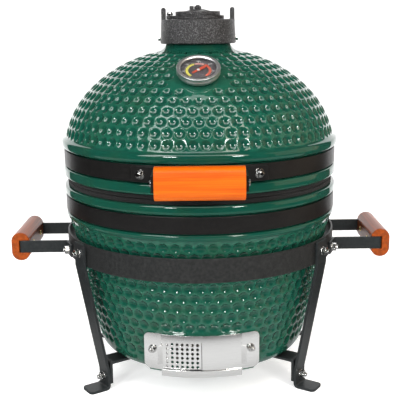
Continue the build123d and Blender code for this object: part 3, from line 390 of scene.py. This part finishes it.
def dimpled_wall(path, rows, skip):
    """The surface turned from path, with rows of cups at each (distance along the path, phase).

    The cups are laid out in a flat map of the surface that keeps angles, and the glaze between them is
    triangulated there. No cup is made where skip says so of its centre.
    """
    points = np.array(path, float)
    steps = np.hypot(*np.diff(points, axis=0).T)
    along = np.concatenate([[0], np.cumsum(steps)])
    mid_r = (points[1:, 0] + points[:-1, 0]) / 2
    log_map_r = np.concatenate([[0], np.cumsum(steps / mid_r)])
    slope = np.gradient(points, along, axis=0)

    def radius(at):
        return float(np.interp(at, along, points[:, 0]))

    def place(theta, at, depth=0.0):
        """A point at an azimuth and a distance along the path, sunk by depth, and its place in the flat map."""
        slope_r, slope_z = np.interp(at, along, slope[:, 0]), np.interp(at, along, slope[:, 1])
        length = math.hypot(slope_r, slope_z)
        r = radius(at) - depth * slope_z / length
        z = np.interp(at, along, points[:, 1]) + depth * slope_r / length
        map_r = math.exp(np.interp(at, along, log_map_r))
        cos, sin = math.cos(theta), math.sin(theta)
        return (r * cos, r * sin, z), Vector((map_r * cos, map_r * sin))

    verts, plane, owner, cup, faces = [], [], [], [], []

    def put(theta, at, depth=0.0, mine=-1, level=0.0):
        point, flat = place(theta, at, depth)
        verts.append(point)
        plane.append(flat)
        owner.append(mine)
        cup.append(level)
        return len(verts) - 1

    for k in range(SEGMENTS):
        put(2 * math.pi * k / SEGMENTS, 0.0)
    for k in range(SEGMENTS):
        put(2 * math.pi * k / SEGMENTS, along[-1])
    cups = 0
    outline = list(range(len(verts)))
    for at, phase in rows:
        count = round(2 * math.pi * radius(at) / CUP_PITCH)
        for j in range(count):
            theta = math.radians(FRONT) + (j + phase) * 2 * math.pi / count
            if skip(place(theta, at)[0]):
                continue
            hub = put(theta, at, CUP_DEPTH, cups, 1.0)
            last = None
            for fraction, depth in CUP_RINGS:
                ring = []
                for k in range(CUP_SIDES):
                    a = 2 * math.pi * k / CUP_SIDES
                    up = at + CUP_R * fraction * math.sin(a)
                    side = CUP_WIDEN * CUP_R * fraction * math.cos(a) / radius(up)
                    ring.append(put(theta + side, up, CUP_DEPTH * depth, cups, depth))
                for k in range(CUP_SIDES):
                    n = (k + 1) % CUP_SIDES
                    if last is None:
                        faces.append((hub, ring[k], ring[n]))
                    else:
                        faces.append((last[k], ring[k], ring[n], last[n]))
                last = ring
            outline += last
            cups += 1
    made = delaunay_2d_cdt([plane[i] for i in outline], [], [], 0, 1e-9)
    home = [outline[group[0]] for group in made[3]]
    for face in made[2]:
        a, b, c = (home[i] for i in face)
        same_cup = owner[a] == owner[b] == owner[c] and owner[a] >= 0
        in_hole = a < SEGMENTS and b < SEGMENTS and c < SEGMENTS
        if not same_cup and not in_hole:
            faces.append((a, b, c))
    return verts, faces, cup


def ceramic_shell(name, before, wall, after, rows, skip, body, node):
    """Closed ceramic shell: a dimpled wall between two smooth stretches of (point, glazed or bare)."""
    verts, faces, cup = dimpled_wall(wall, rows, skip)
    mats = [GLAZED] * len(faces)
    for path in (before, after):
        more, quads = lathe([q for q, _ in path], SEGMENTS)
        base = len(verts)
        verts = verts + more
        # painted shade: the smooth stretches take the darker glaze colour
        cup = cup + [SHADED_SMOOTH_GLAZE] * len(more)
        for i, quad in enumerate(quads):
            faces.append(tuple(base + c for c in quad))
            mats.append(path[i // SEGMENTS][1])
    mesh = bpy.data.meshes.new(name)
    mesh.from_pydata([tuple(c * MM for c in v) for v in verts], [], faces)
    mesh.attributes.new("cup", "FLOAT", "POINT").data.foreach_set("value", cup)
    mesh.polygons.foreach_set("material_index", mats)
    weld(mesh, 2e-6)
    return finish_object(name, mesh, CERAMIC, body, (node,), CERAMIC_SHARP)


def combine(obj, other, operation):
    """Boolean of a ceramic shell with another object, which it uses up."""
    mod = obj.modifiers.new("combine", "BOOLEAN")
    mod.operation = operation
    mod.solver = "MANIFOLD"
    mod.object = other
    dg = bpy.context.evaluated_depsgraph_get()
    mesh = bpy.data.meshes.new_from_object(obj.evaluated_get(dg))
    obj.modifiers.remove(mod)
    obj.data = mesh
    bpy.data.objects.remove(other)
    mesh.shade_smooth()
    mesh.set_sharp_from_angle(angle=math.radians(CERAMIC_SHARP))


def tagged(path, kind):
    """A path whose every point says whether the ceramic is glazed or bare there."""
    return [(q, kind) for q in path]


# bowl, in (radius, height)
(_, _, BASE_Z), (LIP_R, _, MOUTH_Z) = box_mm("base_shell")
MOUTH_R, SEAT_R = 172.0, 190.0
FLOOR_Z, WALL_TOP_Z = 68.0, 241.0
BOWL_FOOT = smooth_path([(128, BASE_Z), (139, 44.2), (146, 48), (150.8, 54.5)], 4)
BOWL_WALL = smooth_path([BOWL_FOOT[-1], (153.5, 62), (160, 90), (168, 126), (173.5, 158), (179, 188),
                         (186, 220), (192, WALL_TOP_Z)], 14)
BOWL_RIM = rounded_path([BOWL_WALL[-1], (194.6, 244), (195, 249.5), (SEAT_R, 250.6), (SEAT_R, 275.4),
                         (LIP_R, 276.4), (LIP_R, MOUTH_Z), (MOUTH_R, MOUTH_Z)], 3.2, 4)
BOWL_INSIDE = smooth_path([(MOUTH_R, MOUTH_Z), (168.5, 245), (157, 188), (144, 126), (136, 96),
                           (118, FLOOR_Z)], 3)
BOWL_TOP_ROW_Z, BOWL_ROWS = 231.8, 12
DRAFT_HALF_DEG, DRAFT_TOP_Z = 27.0, 108.0


def under_draft_frame(point):
    """Whether the draft frame's seat takes the place of a cup."""
    azimuth = math.degrees(math.atan2(point[1], point[0]))
    return abs(azimuth - FRONT) < DRAFT_HALF_DEG and point[2] < DRAFT_TOP_Z


def row_places(path, first_z, upwards, count, phases):
    """Rows of cups along a path, from the one at height first_z; phases gives each one's shift, in cups."""
    points = np.array(path, float)
    along = np.concatenate([[0], np.cumsum(np.hypot(*np.diff(points, axis=0).T))])
    start = float(np.interp(first_z, points[:, 1], along))
    step = ROW_PITCH if upwards else -ROW_PITCH
    return [(start + i * step, phases(i)) for i in range(count)]


bowl_before = tagged([(NEAR_AXIS, BASE_Z), (90, BASE_Z), *BOWL_FOOT], GLAZED)
bowl_after = tagged(BOWL_RIM[:-1], GLAZED) + tagged([*BOWL_INSIDE, (60, FLOOR_Z), (NEAR_AXIS, FLOOR_Z)], BARE)
bowl_rows = row_places(BOWL_WALL, BOWL_TOP_ROW_Z, False, BOWL_ROWS, lambda i: 0.5 * (i % 2))
bowl = ceramic_shell("bowl", bowl_before, BOWL_WALL, bowl_after, bowl_rows, under_draft_frame, "stand_base",
                     "base_shell")


def sector_solid(name, section, start, end, steps):
    """A closed solid: a section of (radius, height) swept between two azimuths."""
    verts, faces = [], []
    count = len(section)
    for k in range(steps + 1):
        a = math.radians(start + (end - start) * k / steps)
        verts += [(r * math.cos(a) * MM, r * math.sin(a) * MM, z * MM) for r, z in section]
    for k in range(steps):
        for i in range(count):
            j = (i + 1) % count
            faces.append((k * count + i, (k + 1) * count + i, (k + 1) * count + j, k * count + j))
    faces += [tuple(range(count)), tuple(reversed(range(steps * count, (steps + 1) * count)))]
    return solid_object(name, verts, faces)


def solid_object(name, verts, faces):
    """A ceramic mesh object to cut or join with, from vertices in metres."""
    mesh = bpy.data.meshes.new(name)
    mesh.from_pydata(verts, [], faces)
    for mat in CERAMIC:
        mesh.materials.append(mat)
    weld(mesh)
    obj = bpy.data.objects.new(name, mesh)
    bpy.context.scene.collection.objects.link(obj)
    return obj


def slot_solid(name, half_x, z0, z1, y0, y1, corner):
    """A rounded-corner box that runs along Y."""
    outline, steps = [], 6
    for cx, cz, first in ((half_x - corner, z1 - corner, 0), (corner - half_x, z1 - corner, 90),
                          (corner - half_x, z0 + corner, 180), (half_x - corner, z0 + corner, 270)):
        for k in range(steps + 1):
            a = math.radians(first + 90 * k / steps)
            outline.append((cx + corner * math.cos(a), cz + corner * math.sin(a)))
    count = len(outline)
    verts = [(x * MM, y * MM, z * MM) for y in (y0, y1) for x, z in outline]
    faces = [(k, (k + 1) % count, count + (k + 1) % count, count + k) for k in range(count)]
    faces += [tuple(range(count)), tuple(reversed(range(count, 2 * count)))]
    return solid_object(name, verts, faces)


# raised seat for the draft frame, and the air opening behind it
PAD_R, PAD_LOW_Z, PAD_TOP_Z, PAD_HALF_DEG = 164.2, 54.0, 105.8, 26
PAD_SECTION = [(142, PAD_LOW_Z), (160.5, 50.2), (163.8, PAD_LOW_Z), (PAD_R, 56), (PAD_R, 105),
               (163.4, PAD_TOP_Z), (148, PAD_TOP_Z)]
WINDOW_HALF_X, WINDOW_LOW_Z, WINDOW_TOP_Z, WINDOW_CORNER = 38, 67, 97, 5
OUTSIDE_Y, INSIDE_Y = -200, -110  # either side of the bowl's front wall
combine(bowl, sector_solid("pad", PAD_SECTION, FRONT - PAD_HALF_DEG, FRONT + PAD_HALF_DEG, 40), "UNION")
combine(bowl, slot_solid("window", WINDOW_HALF_X, WINDOW_LOW_Z, WINDOW_TOP_Z, OUTSIDE_Y, INSIDE_Y,
                         WINDOW_CORNER), "DIFFERENCE")

# dome, an ellipse in (radius, height) between a rolled rim and the neck
DOME_A, DOME_B, DOME_Z = 194.0, 145.0, 333.0
CEILING_A, CEILING_B = 172.0, 127.0
(_, _, LID_Z), (_, _, NECK_Z) = box_mm("lid_shell")
LID_SEAT_Z, SHOULDER_Z = 315.0, 355.5
NECK_R, NECK_BORE_R, NECK_FOOT_R = 43.5, 30.0, 55.0
needle = next(joint for joint in frame["joints"] if joint["name"] == "gauge_needle")
GAUGE_CENTRE = Vector(needle["pos_m"]) / MM
GAUGE_AXIS = Vector(needle["axis"]).normalized()
GAUGE_CLEAR_R = 35.5              # the glaze is smooth under the thermometer's case
DOME_FIRST_ROW_Z, DOME_ROWS = 363.2, 13


def ellipse(a, b, z, start, end, steps):
    """Points of (radius, height) on an ellipse about a height, between two angles."""
    return [(a * math.cos(u), z + b * math.sin(u)) for u in np.linspace(start, end, steps)]


DOME_WALL = ellipse(DOME_A, DOME_B, DOME_Z, math.asin((SHOULDER_Z - DOME_Z) / DOME_B),
                    math.acos(NECK_FOOT_R / DOME_A), 95)
LID_RIM = rounded_path([(SEAT_R, LID_SEAT_Z), (SEAT_R, 340.2), (196.4, 341), (198, 346), (197.4, 352),
                        DOME_WALL[0]], 3.5)
LID_LIP = rounded_path([(MOUTH_R, LID_Z), (LIP_R, LID_Z), (LIP_R, 314.4), (SEAT_R, LID_SEAT_Z),
                        (SEAT_R, 322)], 3.2)
NECK = smooth_path([DOME_WALL[-1], (49.6, 475.6), (45.6, 480.8), (NECK_R, 487), (NECK_R, 494)], 6)
CEILING = ellipse(CEILING_A, CEILING_B, DOME_Z, math.acos(NECK_BORE_R / CEILING_A), 0.0, 40)


def under_gauge(point):
    """Whether the thermometer takes the place of a cup."""
    off = Vector(point) - GAUGE_CENTRE
    return (off - GAUGE_AXIS * off.dot(GAUGE_AXIS)).length < GAUGE_CLEAR_R


def dome_phase(i):
    """The two lowest rows line up at the front; above them every other row is shifted by half a cup."""
    return 0.5 if i == 0 else 0.5 * (i % 2)


lid_before = tagged(LID_LIP + LID_RIM[1:], GLAZED)
lid_after = tagged(NECK, GLAZED) + tagged([(NECK_R, NECK_Z), (NECK_BORE_R, NECK_Z), *CEILING,
                                           (MOUTH_R, LID_Z)], BARE)
dome_rows = row_places(DOME_WALL, DOME_FIRST_ROW_Z, True, DOME_ROWS, dome_phase)
ceramic_shell("dome", lid_before, DOME_WALL, lid_after, dome_rows, under_gauge, "lid", "lid_shell")


# ================================================================ rigid parts, with their edges eased
def eased(node, width, finish):
    """Replace a CAD node with a copy whose sharp edges are rounded over, in a finish of its own."""
    source = NODES[node]
    mesh = source.data.copy()
    mesh.materials.clear()
    bm = bmesh.new()
    bm.from_mesh(mesh)
    bmesh.ops.remove_doubles(bm, verts=bm.verts, dist=2e-6)
    bmesh.ops.dissolve_limit(bm, angle_limit=math.radians(0.4), verts=bm.verts, edges=bm.edges)
    crisp_angle = math.radians(28)
    crisp = [e for e in bm.edges if len(e.link_faces) == 2 and e.calc_face_angle() > crisp_angle]
    bmesh.ops.bevel(bm, geom=crisp, offset=width * MM, offset_type="OFFSET", segments=2, profile=0.5,
                    affect="EDGES", clamp_overlap=False, loop_slide=True)
    bmesh.ops.triangulate(bm, faces=[f for f in bm.faces if len(f.verts) > 4])
    bm.to_mesh(mesh)
    bm.free()
    piece = finish_object(node + "_eased", mesh, [finish], source["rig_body"], (node,), sharp=50.0)
    flats = piece.modifiers.new("flats", "WEIGHTED_NORMAL")
    flats.keep_sharp = True
    flats.weight = 80


def dressed(node, finish):
    """Give a CAD node, which keeps its shape, a finish."""
    for slot in NODES[node].material_slots:
        slot.material = finish


for node in ("base_band", "lid_band"):
    eased(node, 0.7, BAND_COAT)
eased("stand_ring", 0.9, RING_COAT)
for node in ("lid_bracket_left", "lid_bracket_right", "hinge_lower_bracket", "hinge_upper_bracket"):
    eased(node, 0.5, BAND_COAT)
for node in ("leg_front_left", "leg_front_right", "leg_rear_left", "leg_rear_right", "cross_strap_upper",
             "cross_strap_lower", "handle_bar_left", "handle_bar_right"):
    eased(node, 0.6, LEG_COAT)
for node in ("leg_top_bolts", "leg_foot_bolts", "handle_bolts", "draft_frame_bolts", "hinge_lower_bolts",
             "hinge_upper_bolts", "lid_grip_screws", "lid_handle_bolts", "hinge_pin", "thermo_nut",
             "vent_pivot_bolt"):
    eased(node, 0.25, CHROME)
eased("vent_base", 0.6, CAST_IRON)
for node in ("vent_slide", "daisy_wheel", "vent_knob"):
    eased(node, 0.35, CAST_IRON)
for node in ("draft_frame", "draft_screen", "draft_door"):
    eased(node, 0.2, STAINLESS)
for side in ("left", "right"):
    eased("side_grip_" + side, 0.8, SHADED_WOOD_SIDE)
    dressed("grip_strip_" + side, SHADED_WOOD_STRIP)
eased("lid_grip", 0.8, WOOD_LID)
for node in ("grip_screws", "hinge_bush"):
    dressed(node, BRASS)
for node in ("fire_box", "fire_ring"):
    dressed(node, CLAY)
dressed("charcoal_grate", CAST_IRON)
dressed("vent_clamp_screws", CHROME)
for node in ("grid_rim", "grid_bars", "thermo_case", "thermo_probe"):
    dressed(node, WIRE_STEEL)
dressed("vent_gasket", FELT)
dressed("thermo_dial", DIAL_INK)
dressed("thermo_pointer", POINTER_RED)
dressed("thermo_lens", GLASS)


# ================================================================ thermometer
GAUGE_UP = Vector((0, GAUGE_AXIS.z, -GAUGE_AXIS.y))
DIAL_Z = -6.0                     # dial face, below the bezel's front plane


def on_gauge(x, y, z):
    """A point in the gauge's own frame: x right, y up the dial, z out of the glass."""
    return tuple(GAUGE_CENTRE + Vector((x, 0, 0)) + GAUGE_UP * y + GAUGE_AXIS * z)


def gauge_piece(name, verts, faces, finish, body="lid", stands_for=(), sharp=32.0):
    placed = [on_gauge(*v) for v in verts]
    make_object(name, placed, faces, [finish], body, stands_for, sharp)


def knurled_bezel():
    """Turned ring with a rolled inner lip and coin-edge knurling round its skirt."""
    count, knurl = 288, 0.32
    skirt_r, skirt_low_z, skirt_top_z = 28.3, -5.3, -1.9
    path = rounded_path([(27.1, -7.0), (skirt_r, -6.9), (skirt_r, -5.6)], 0.5, 3)
    path += [(skirt_r, skirt_low_z), (skirt_r, skirt_top_z)]
    path += rounded_path([(skirt_r, -1.6), (skirt_r, -0.1), (24.6, 0.0), (23.2, -1.3)], 1.1, 6)
    path += [(24.4, -1.4), (27.1, -1.5), (27.1, -7.0)]
    plain, faces = lathe(path, count)
    verts = []
    for i, (x, y, z) in enumerate(plain):
        in_skirt = skirt_low_z - 0.1 < z < skirt_top_z + 0.1 and math.hypot(x, y) > skirt_r - 0.1
        in_groove = (i % count) % 4 < 2
        shrink = 1 - knurl / skirt_r if in_skirt and in_groove else 1.0
        verts.append((x * shrink, y * shrink, z))
    gauge_piece("knurled_bezel", verts, faces, BEZEL_STEEL, stands_for=("thermo_bezel",),
                sharp=40.0)


PRINT_Z = 0.06                    # how thick the dial's print is
ARC_R0, ARC_R1 = 13.2, 16.6
SCALE_START, SCALE_SWEEP = 231, 282     # degrees: the first mark, and clockwise from it to the last


def dial_arc(name, start, end, finish, steps=48):
    """Printed arc on the dial between two angles in degrees."""
    verts, faces = [], []
    for k in range(steps + 1):
        a = math.radians(start + (end - start) * k / steps)
        for r, z in ((ARC_R0, 0.0), (ARC_R0, PRINT_Z), (ARC_R1, PRINT_Z), (ARC_R1, 0.0)):
            verts.append((r * math.cos(a), r * math.sin(a), DIAL_Z + z))
    for k in range(steps):
        for j in range(4):
            n = (j + 1) % 4
            faces.append((4 * k + j, 4 * k + n, 4 * k + 4 + n, 4 * k + 4 + j))
    faces += [(0, 1, 2, 3), (4 * steps + 3, 4 * steps + 2, 4 * steps + 1, 4 * steps)]
    gauge_piece(name, verts, faces, finish)


def dial_ticks():
    """White scale marks outside the coloured arc, every fifth one longer."""
    verts, faces = [], []
    marks, first_r = 31, 17.3
    for k in range(marks):
        a = math.radians(SCALE_START - SCALE_SWEEP * k / (marks - 1))
        long = k % 5 == 0
        half, reach = (0.5, 19.2) if long else (0.22, 18.3)
        for r, side in ((first_r, -1), (first_r, 1), (reach, 1), (reach, -1)):
            x = r * math.cos(a) - side * half * math.sin(a)
            y = r * math.sin(a) + side * half * math.cos(a)
            verts += [(x, y, DIAL_Z), (x, y, DIAL_Z + PRINT_Z)]
        b = 8 * k
        faces += [(b + 1, b + 3, b + 5, b + 7), (b, b + 6, b + 4, b + 2)]
        for j in range(4):
            n = (j + 1) % 4
            faces.append((b + 2 * j, b + 2 * n, b + 2 * n + 1, b + 2 * j + 1))
    gauge_piece("dial_ticks", verts, faces, WHITE_INK)


def dial_numbers():
    """Plain degree numbers round the dial."""
    size, ring_r, steps = 3.6, 20.952, 6
    verts, faces = [], []
    for k in range(steps + 1):
        a = math.radians(SCALE_START - SCALE_SWEEP * k / steps)
        text = bpy.data.curves.new("degrees", "FONT")
        text.body = str(50 + 50 * k)
        text.size = size
        text.align_x = "CENTER"
        text.align_y = "CENTER"
        text.extrude = PRINT_Z / 2
        holder = bpy.data.objects.new("degrees", text)
        bpy.context.scene.collection.objects.link(holder)
        bpy.context.view_layer.update()
        mesh = holder.to_mesh()
        base = len(verts)
        for v in mesh.vertices:
            verts.append((ring_r * math.cos(a) + v.co.x, ring_r * math.sin(a) + v.co.y,
                          DIAL_Z + PRINT_Z / 2 + v.co.z))
        faces += [tuple(base + i for i in poly.vertices) for poly in mesh.polygons]
        bpy.data.objects.remove(holder)
        bpy.data.curves.remove(text)
    gauge_piece("dial_numbers", verts, faces, WHITE_INK)


def pointer_hub():
    """Small cap over the pointer's pivot, which turns with it."""
    path = rounded_path([(NEAR_AXIS, -4.0), (1.9, -4.05), (2.1, -4.9), (NEAR_AXIS, -4.9)], 0.3, 3)
    verts, faces = lathe(path, 40)
    gauge_piece("pointer_hub", verts, faces, WHITE_INK, "gauge_pointer")


knurled_bezel()
dial_arc("arc_yellow", SCALE_START, 112, YELLOW_INK)
dial_arc("arc_pink", 108, 62, PINK_INK)
dial_arc("arc_red", 58, SCALE_START - SCALE_SWEEP, RED_INK)
dial_ticks()
dial_numbers()
pointer_hub()


# ================================================================ felt seals
FELT_WIDTH = 17.5


def felt_ring(name, node, body):
    """Fuzzy ring of felt: a rounded section, ruffled by noise that only ever presses it in."""
    count, round_over = 480, 1.6
    lump_size, fluff_size = 3.1, 0.9
    (_, _, z0), (r1, _, z1) = box_mm(node)
    r0 = r1 - FELT_WIDTH
    ring = rounded_path([(r0, (z0 + z1) / 2), (r0, z0), (r1, z0), (r1, z1), (r0, z1), (r0, (z0 + z1) / 2)],
                        round_over, 5)[:-1]
    verts, faces = [], []
    mid_r, mid_z = (r0 + r1) / 2, (z0 + z1) / 2
    for r, z in ring:
        for k in range(count):
            a = 2 * math.pi * k / count
            x, y = r * math.cos(a), r * math.sin(a)
            lump = 0.5 + 0.5 * noise.noise((x / lump_size, y / lump_size, z / 1.7))
            fluff = 0.5 + 0.5 * noise.noise((x / fluff_size, y / fluff_size, z / fluff_size + 7))
            press = 0.9 * lump + 0.5 * fluff
            on_side = r > r1 - 1 or r < r0 + 1
            in_r = r - press * (1 if r > mid_r else -1) * (0.8 if on_side else 0.0)
            in_z = z - 0.35 * press * (1 if z > mid_z else -1)
            verts.append((in_r * math.cos(a), in_r * math.sin(a), in_z))
    rows = len(ring)
    for i in range(rows):
        for k in range(count):
            n, j = (k + 1) % count, (i + 1) % rows
            faces.append((i * count + k, i * count + n, j * count + n, j * count + k))
    make_object(name, verts, faces, [FELT], body, (node,), 80.0)


felt_ring("felt_lower", "base_gasket", "stand_base")
felt_ring("felt_upper", "lid_gasket", "lid")


# ================================================================ camera, light and floor, in metres
def make_camera():
    """Three-quarter height view from the front, slightly above the middle of the grill."""
    stand_off, height = 1.160, 0.510
    tilt, roll = math.radians(90 - 12.48), math.radians(-0.68)
    data = bpy.data.cameras.new("camera")
    data.sensor_width = 36.0
    data.lens = 72.0
    camera = bpy.data.objects.new("camera", data)
    bpy.context.scene.collection.objects.link(camera)
    camera.matrix_world = (Matrix.Translation((0, -stand_off, height)) @ Matrix.Rotation(tilt, 4, "X")
                           @ Matrix.Rotation(roll, 4, "Z"))
    bpy.context.scene.camera = camera


MIDDLE = Vector((0, 0, 0.27))
LIGHT_DISTANCE = 2.2
WHITE, WARM, AMBER = (1, 1, 1), (1.0, 0.90, 0.78), (1.0, 0.74, 0.52)


def soft_box(name, heading, elevation, width_deg, height_deg, radiance, color=WHITE):
    """Rectangular light, placed and sized by the angles at which the grill sees it.

    The heading is from the front, with left negative.
    """
    turn, rise = math.radians(heading), math.radians(elevation)
    aim = Vector((math.sin(turn) * math.cos(rise), -math.cos(turn) * math.cos(rise), math.sin(rise)))
    data = bpy.data.lights.new(name, "AREA")
    data.shape = "RECTANGLE"
    data.color = color
    data.size = 2 * LIGHT_DISTANCE * math.tan(math.radians(width_deg / 2))
    data.size_y = 2 * LIGHT_DISTANCE * math.tan(math.radians(height_deg / 2))
    data.energy = radiance * math.pi * data.size * data.size_y
    light = bpy.data.objects.new(name, data)
    bpy.context.scene.collection.objects.link(light)
    light.location = MIDDLE + LIGHT_DISTANCE * aim
    light.rotation_euler = aim.to_track_quat("Z", "Y").to_euler()
    light.visible_camera = False


def turned_stage(name, path, start, end, mat):
    """A stage surface: a path of (radius, height) turned between two azimuths."""
    steps = 96
    verts, faces = [], []
    for k in range(steps + 1):
        a = math.radians(start + (end - start) * k / steps)
        verts += [(r * math.cos(a), r * math.sin(a), z) for r, z in path]
    for k in range(steps):
        for i in range(len(path) - 1):
            a, b = k * len(path) + i, (k + 1) * len(path) + i
            faces.append((a, b, b + 1, a + 1))
    mesh = bpy.data.meshes.new(name)
    mesh.from_pydata(verts, [], faces)
    mesh.materials.append(mat)
    mesh.shade_smooth()
    surface = bpy.data.objects.new(name, mesh)
    bpy.context.scene.collection.objects.link(surface)
    return surface


def glowing_material(name, color, roughness, glow):
    """A plain stage material that gives off white light."""
    mat = new_material(name, color, roughness)
    shader_of(mat).inputs["Emission Color"].default_value = (1, 1, 1, 1)
    shader_of(mat).inputs["Emission Strength"].default_value = glow
    return mat


def make_floor():
    """Pale round floor that curves up into a wall."""
    corner, wall_r, wall_z, glow = 1.4, 4.2, 3.2, 0.5
    bend = [(wall_r - corner + corner * math.sin(u), corner - corner * math.cos(u))
            for u in np.linspace(0, math.pi / 2, 15)]
    mat = glowing_material("studio_floor", (0.80, 0.80, 0.80), 0.9, glow)
    floor = turned_stage("studio_floor", [(NEAR_AXIS, 0.0), (1.5, 0.0), *bend, (wall_r, wall_z)], 0, 360, mat)
    floor.visible_glossy = False


def glow_card(name, path, start, end, radiance):
    """A bright card that only shows in reflections."""
    card = turned_stage(name, path, start, end, glowing_material(name, (0, 0, 0), 1.0, radiance))
    card.visible_camera = False
    card.visible_diffuse = False
    card.visible_transmission = False
    card.visible_shadow = False


def make_world():
    """Soft surroundings, dim in front of the grill and white behind it."""
    front_strength, back_strength = 0.08, 1.5
    front_y, back_y = -0.10, 0.45
    world = bpy.data.worlds.new("studio")
    bpy.context.scene.world = world
    world.use_nodes = True
    tree = world.node_tree
    place = tree.nodes.new("ShaderNodeTexCoord")
    axes = tree.nodes.new("ShaderNodeSeparateXYZ")
    fade = tree.nodes.new("ShaderNodeMapRange")
    fade.inputs["From Min"].default_value = front_y
    fade.inputs["From Max"].default_value = back_y
    fade.inputs["To Min"].default_value = front_strength
    fade.inputs["To Max"].default_value = back_strength
    tree.links.new(place.outputs["Generated"], axes.inputs["Vector"])
    tree.links.new(axes.outputs["Y"], fade.inputs["Value"])
    tree.links.new(fade.outputs["Result"], tree.nodes["Background"].inputs["Strength"])


make_camera()
make_floor()
make_world()

CARD_Z = 0.001                    # cards on the floor lie just over it
UNDER_R, DOOR_R, DOOR_CARD_TOP = 0.305, 0.30, 0.048
RING_R0, RING_R1, WALL_R, WALL_TOP = 0.50, 1.0, 3.0, 2.6
glow_card("glow_under", [(NEAR_AXIS, CARD_Z), (UNDER_R, CARD_Z)], 0, 360, 0.6)
glow_card("glow_ring", [(RING_R0, CARD_Z), (RING_R1, CARD_Z)], 180, 360, 0.55)
glow_card("glow_door", [(DOOR_R, CARD_Z), (DOOR_R, DOOR_CARD_TOP)], 205, 335, 0.85)
glow_card("glow_back", [(RING_R0, CARD_Z), (WALL_R, CARD_Z), (WALL_R, WALL_TOP)], 44, 136, 1.7)

soft_box("box_left", -42, 42, 15, 42, 6.5)
soft_box("box_right", 33, 40, 11, 38, 6.5, WARM)
soft_box("box_front", -4, 62, 46, 26, 3.4)
soft_box("key_left", -23, 21, 9, 9, 42.0)
soft_box("key_right", 30, 20, 8, 9, 38.0)
soft_box("wall_right", 84, 15, 50, 50, 0.65, AMBER)

bpy.context.scene.view_settings.view_transform = "Standard"
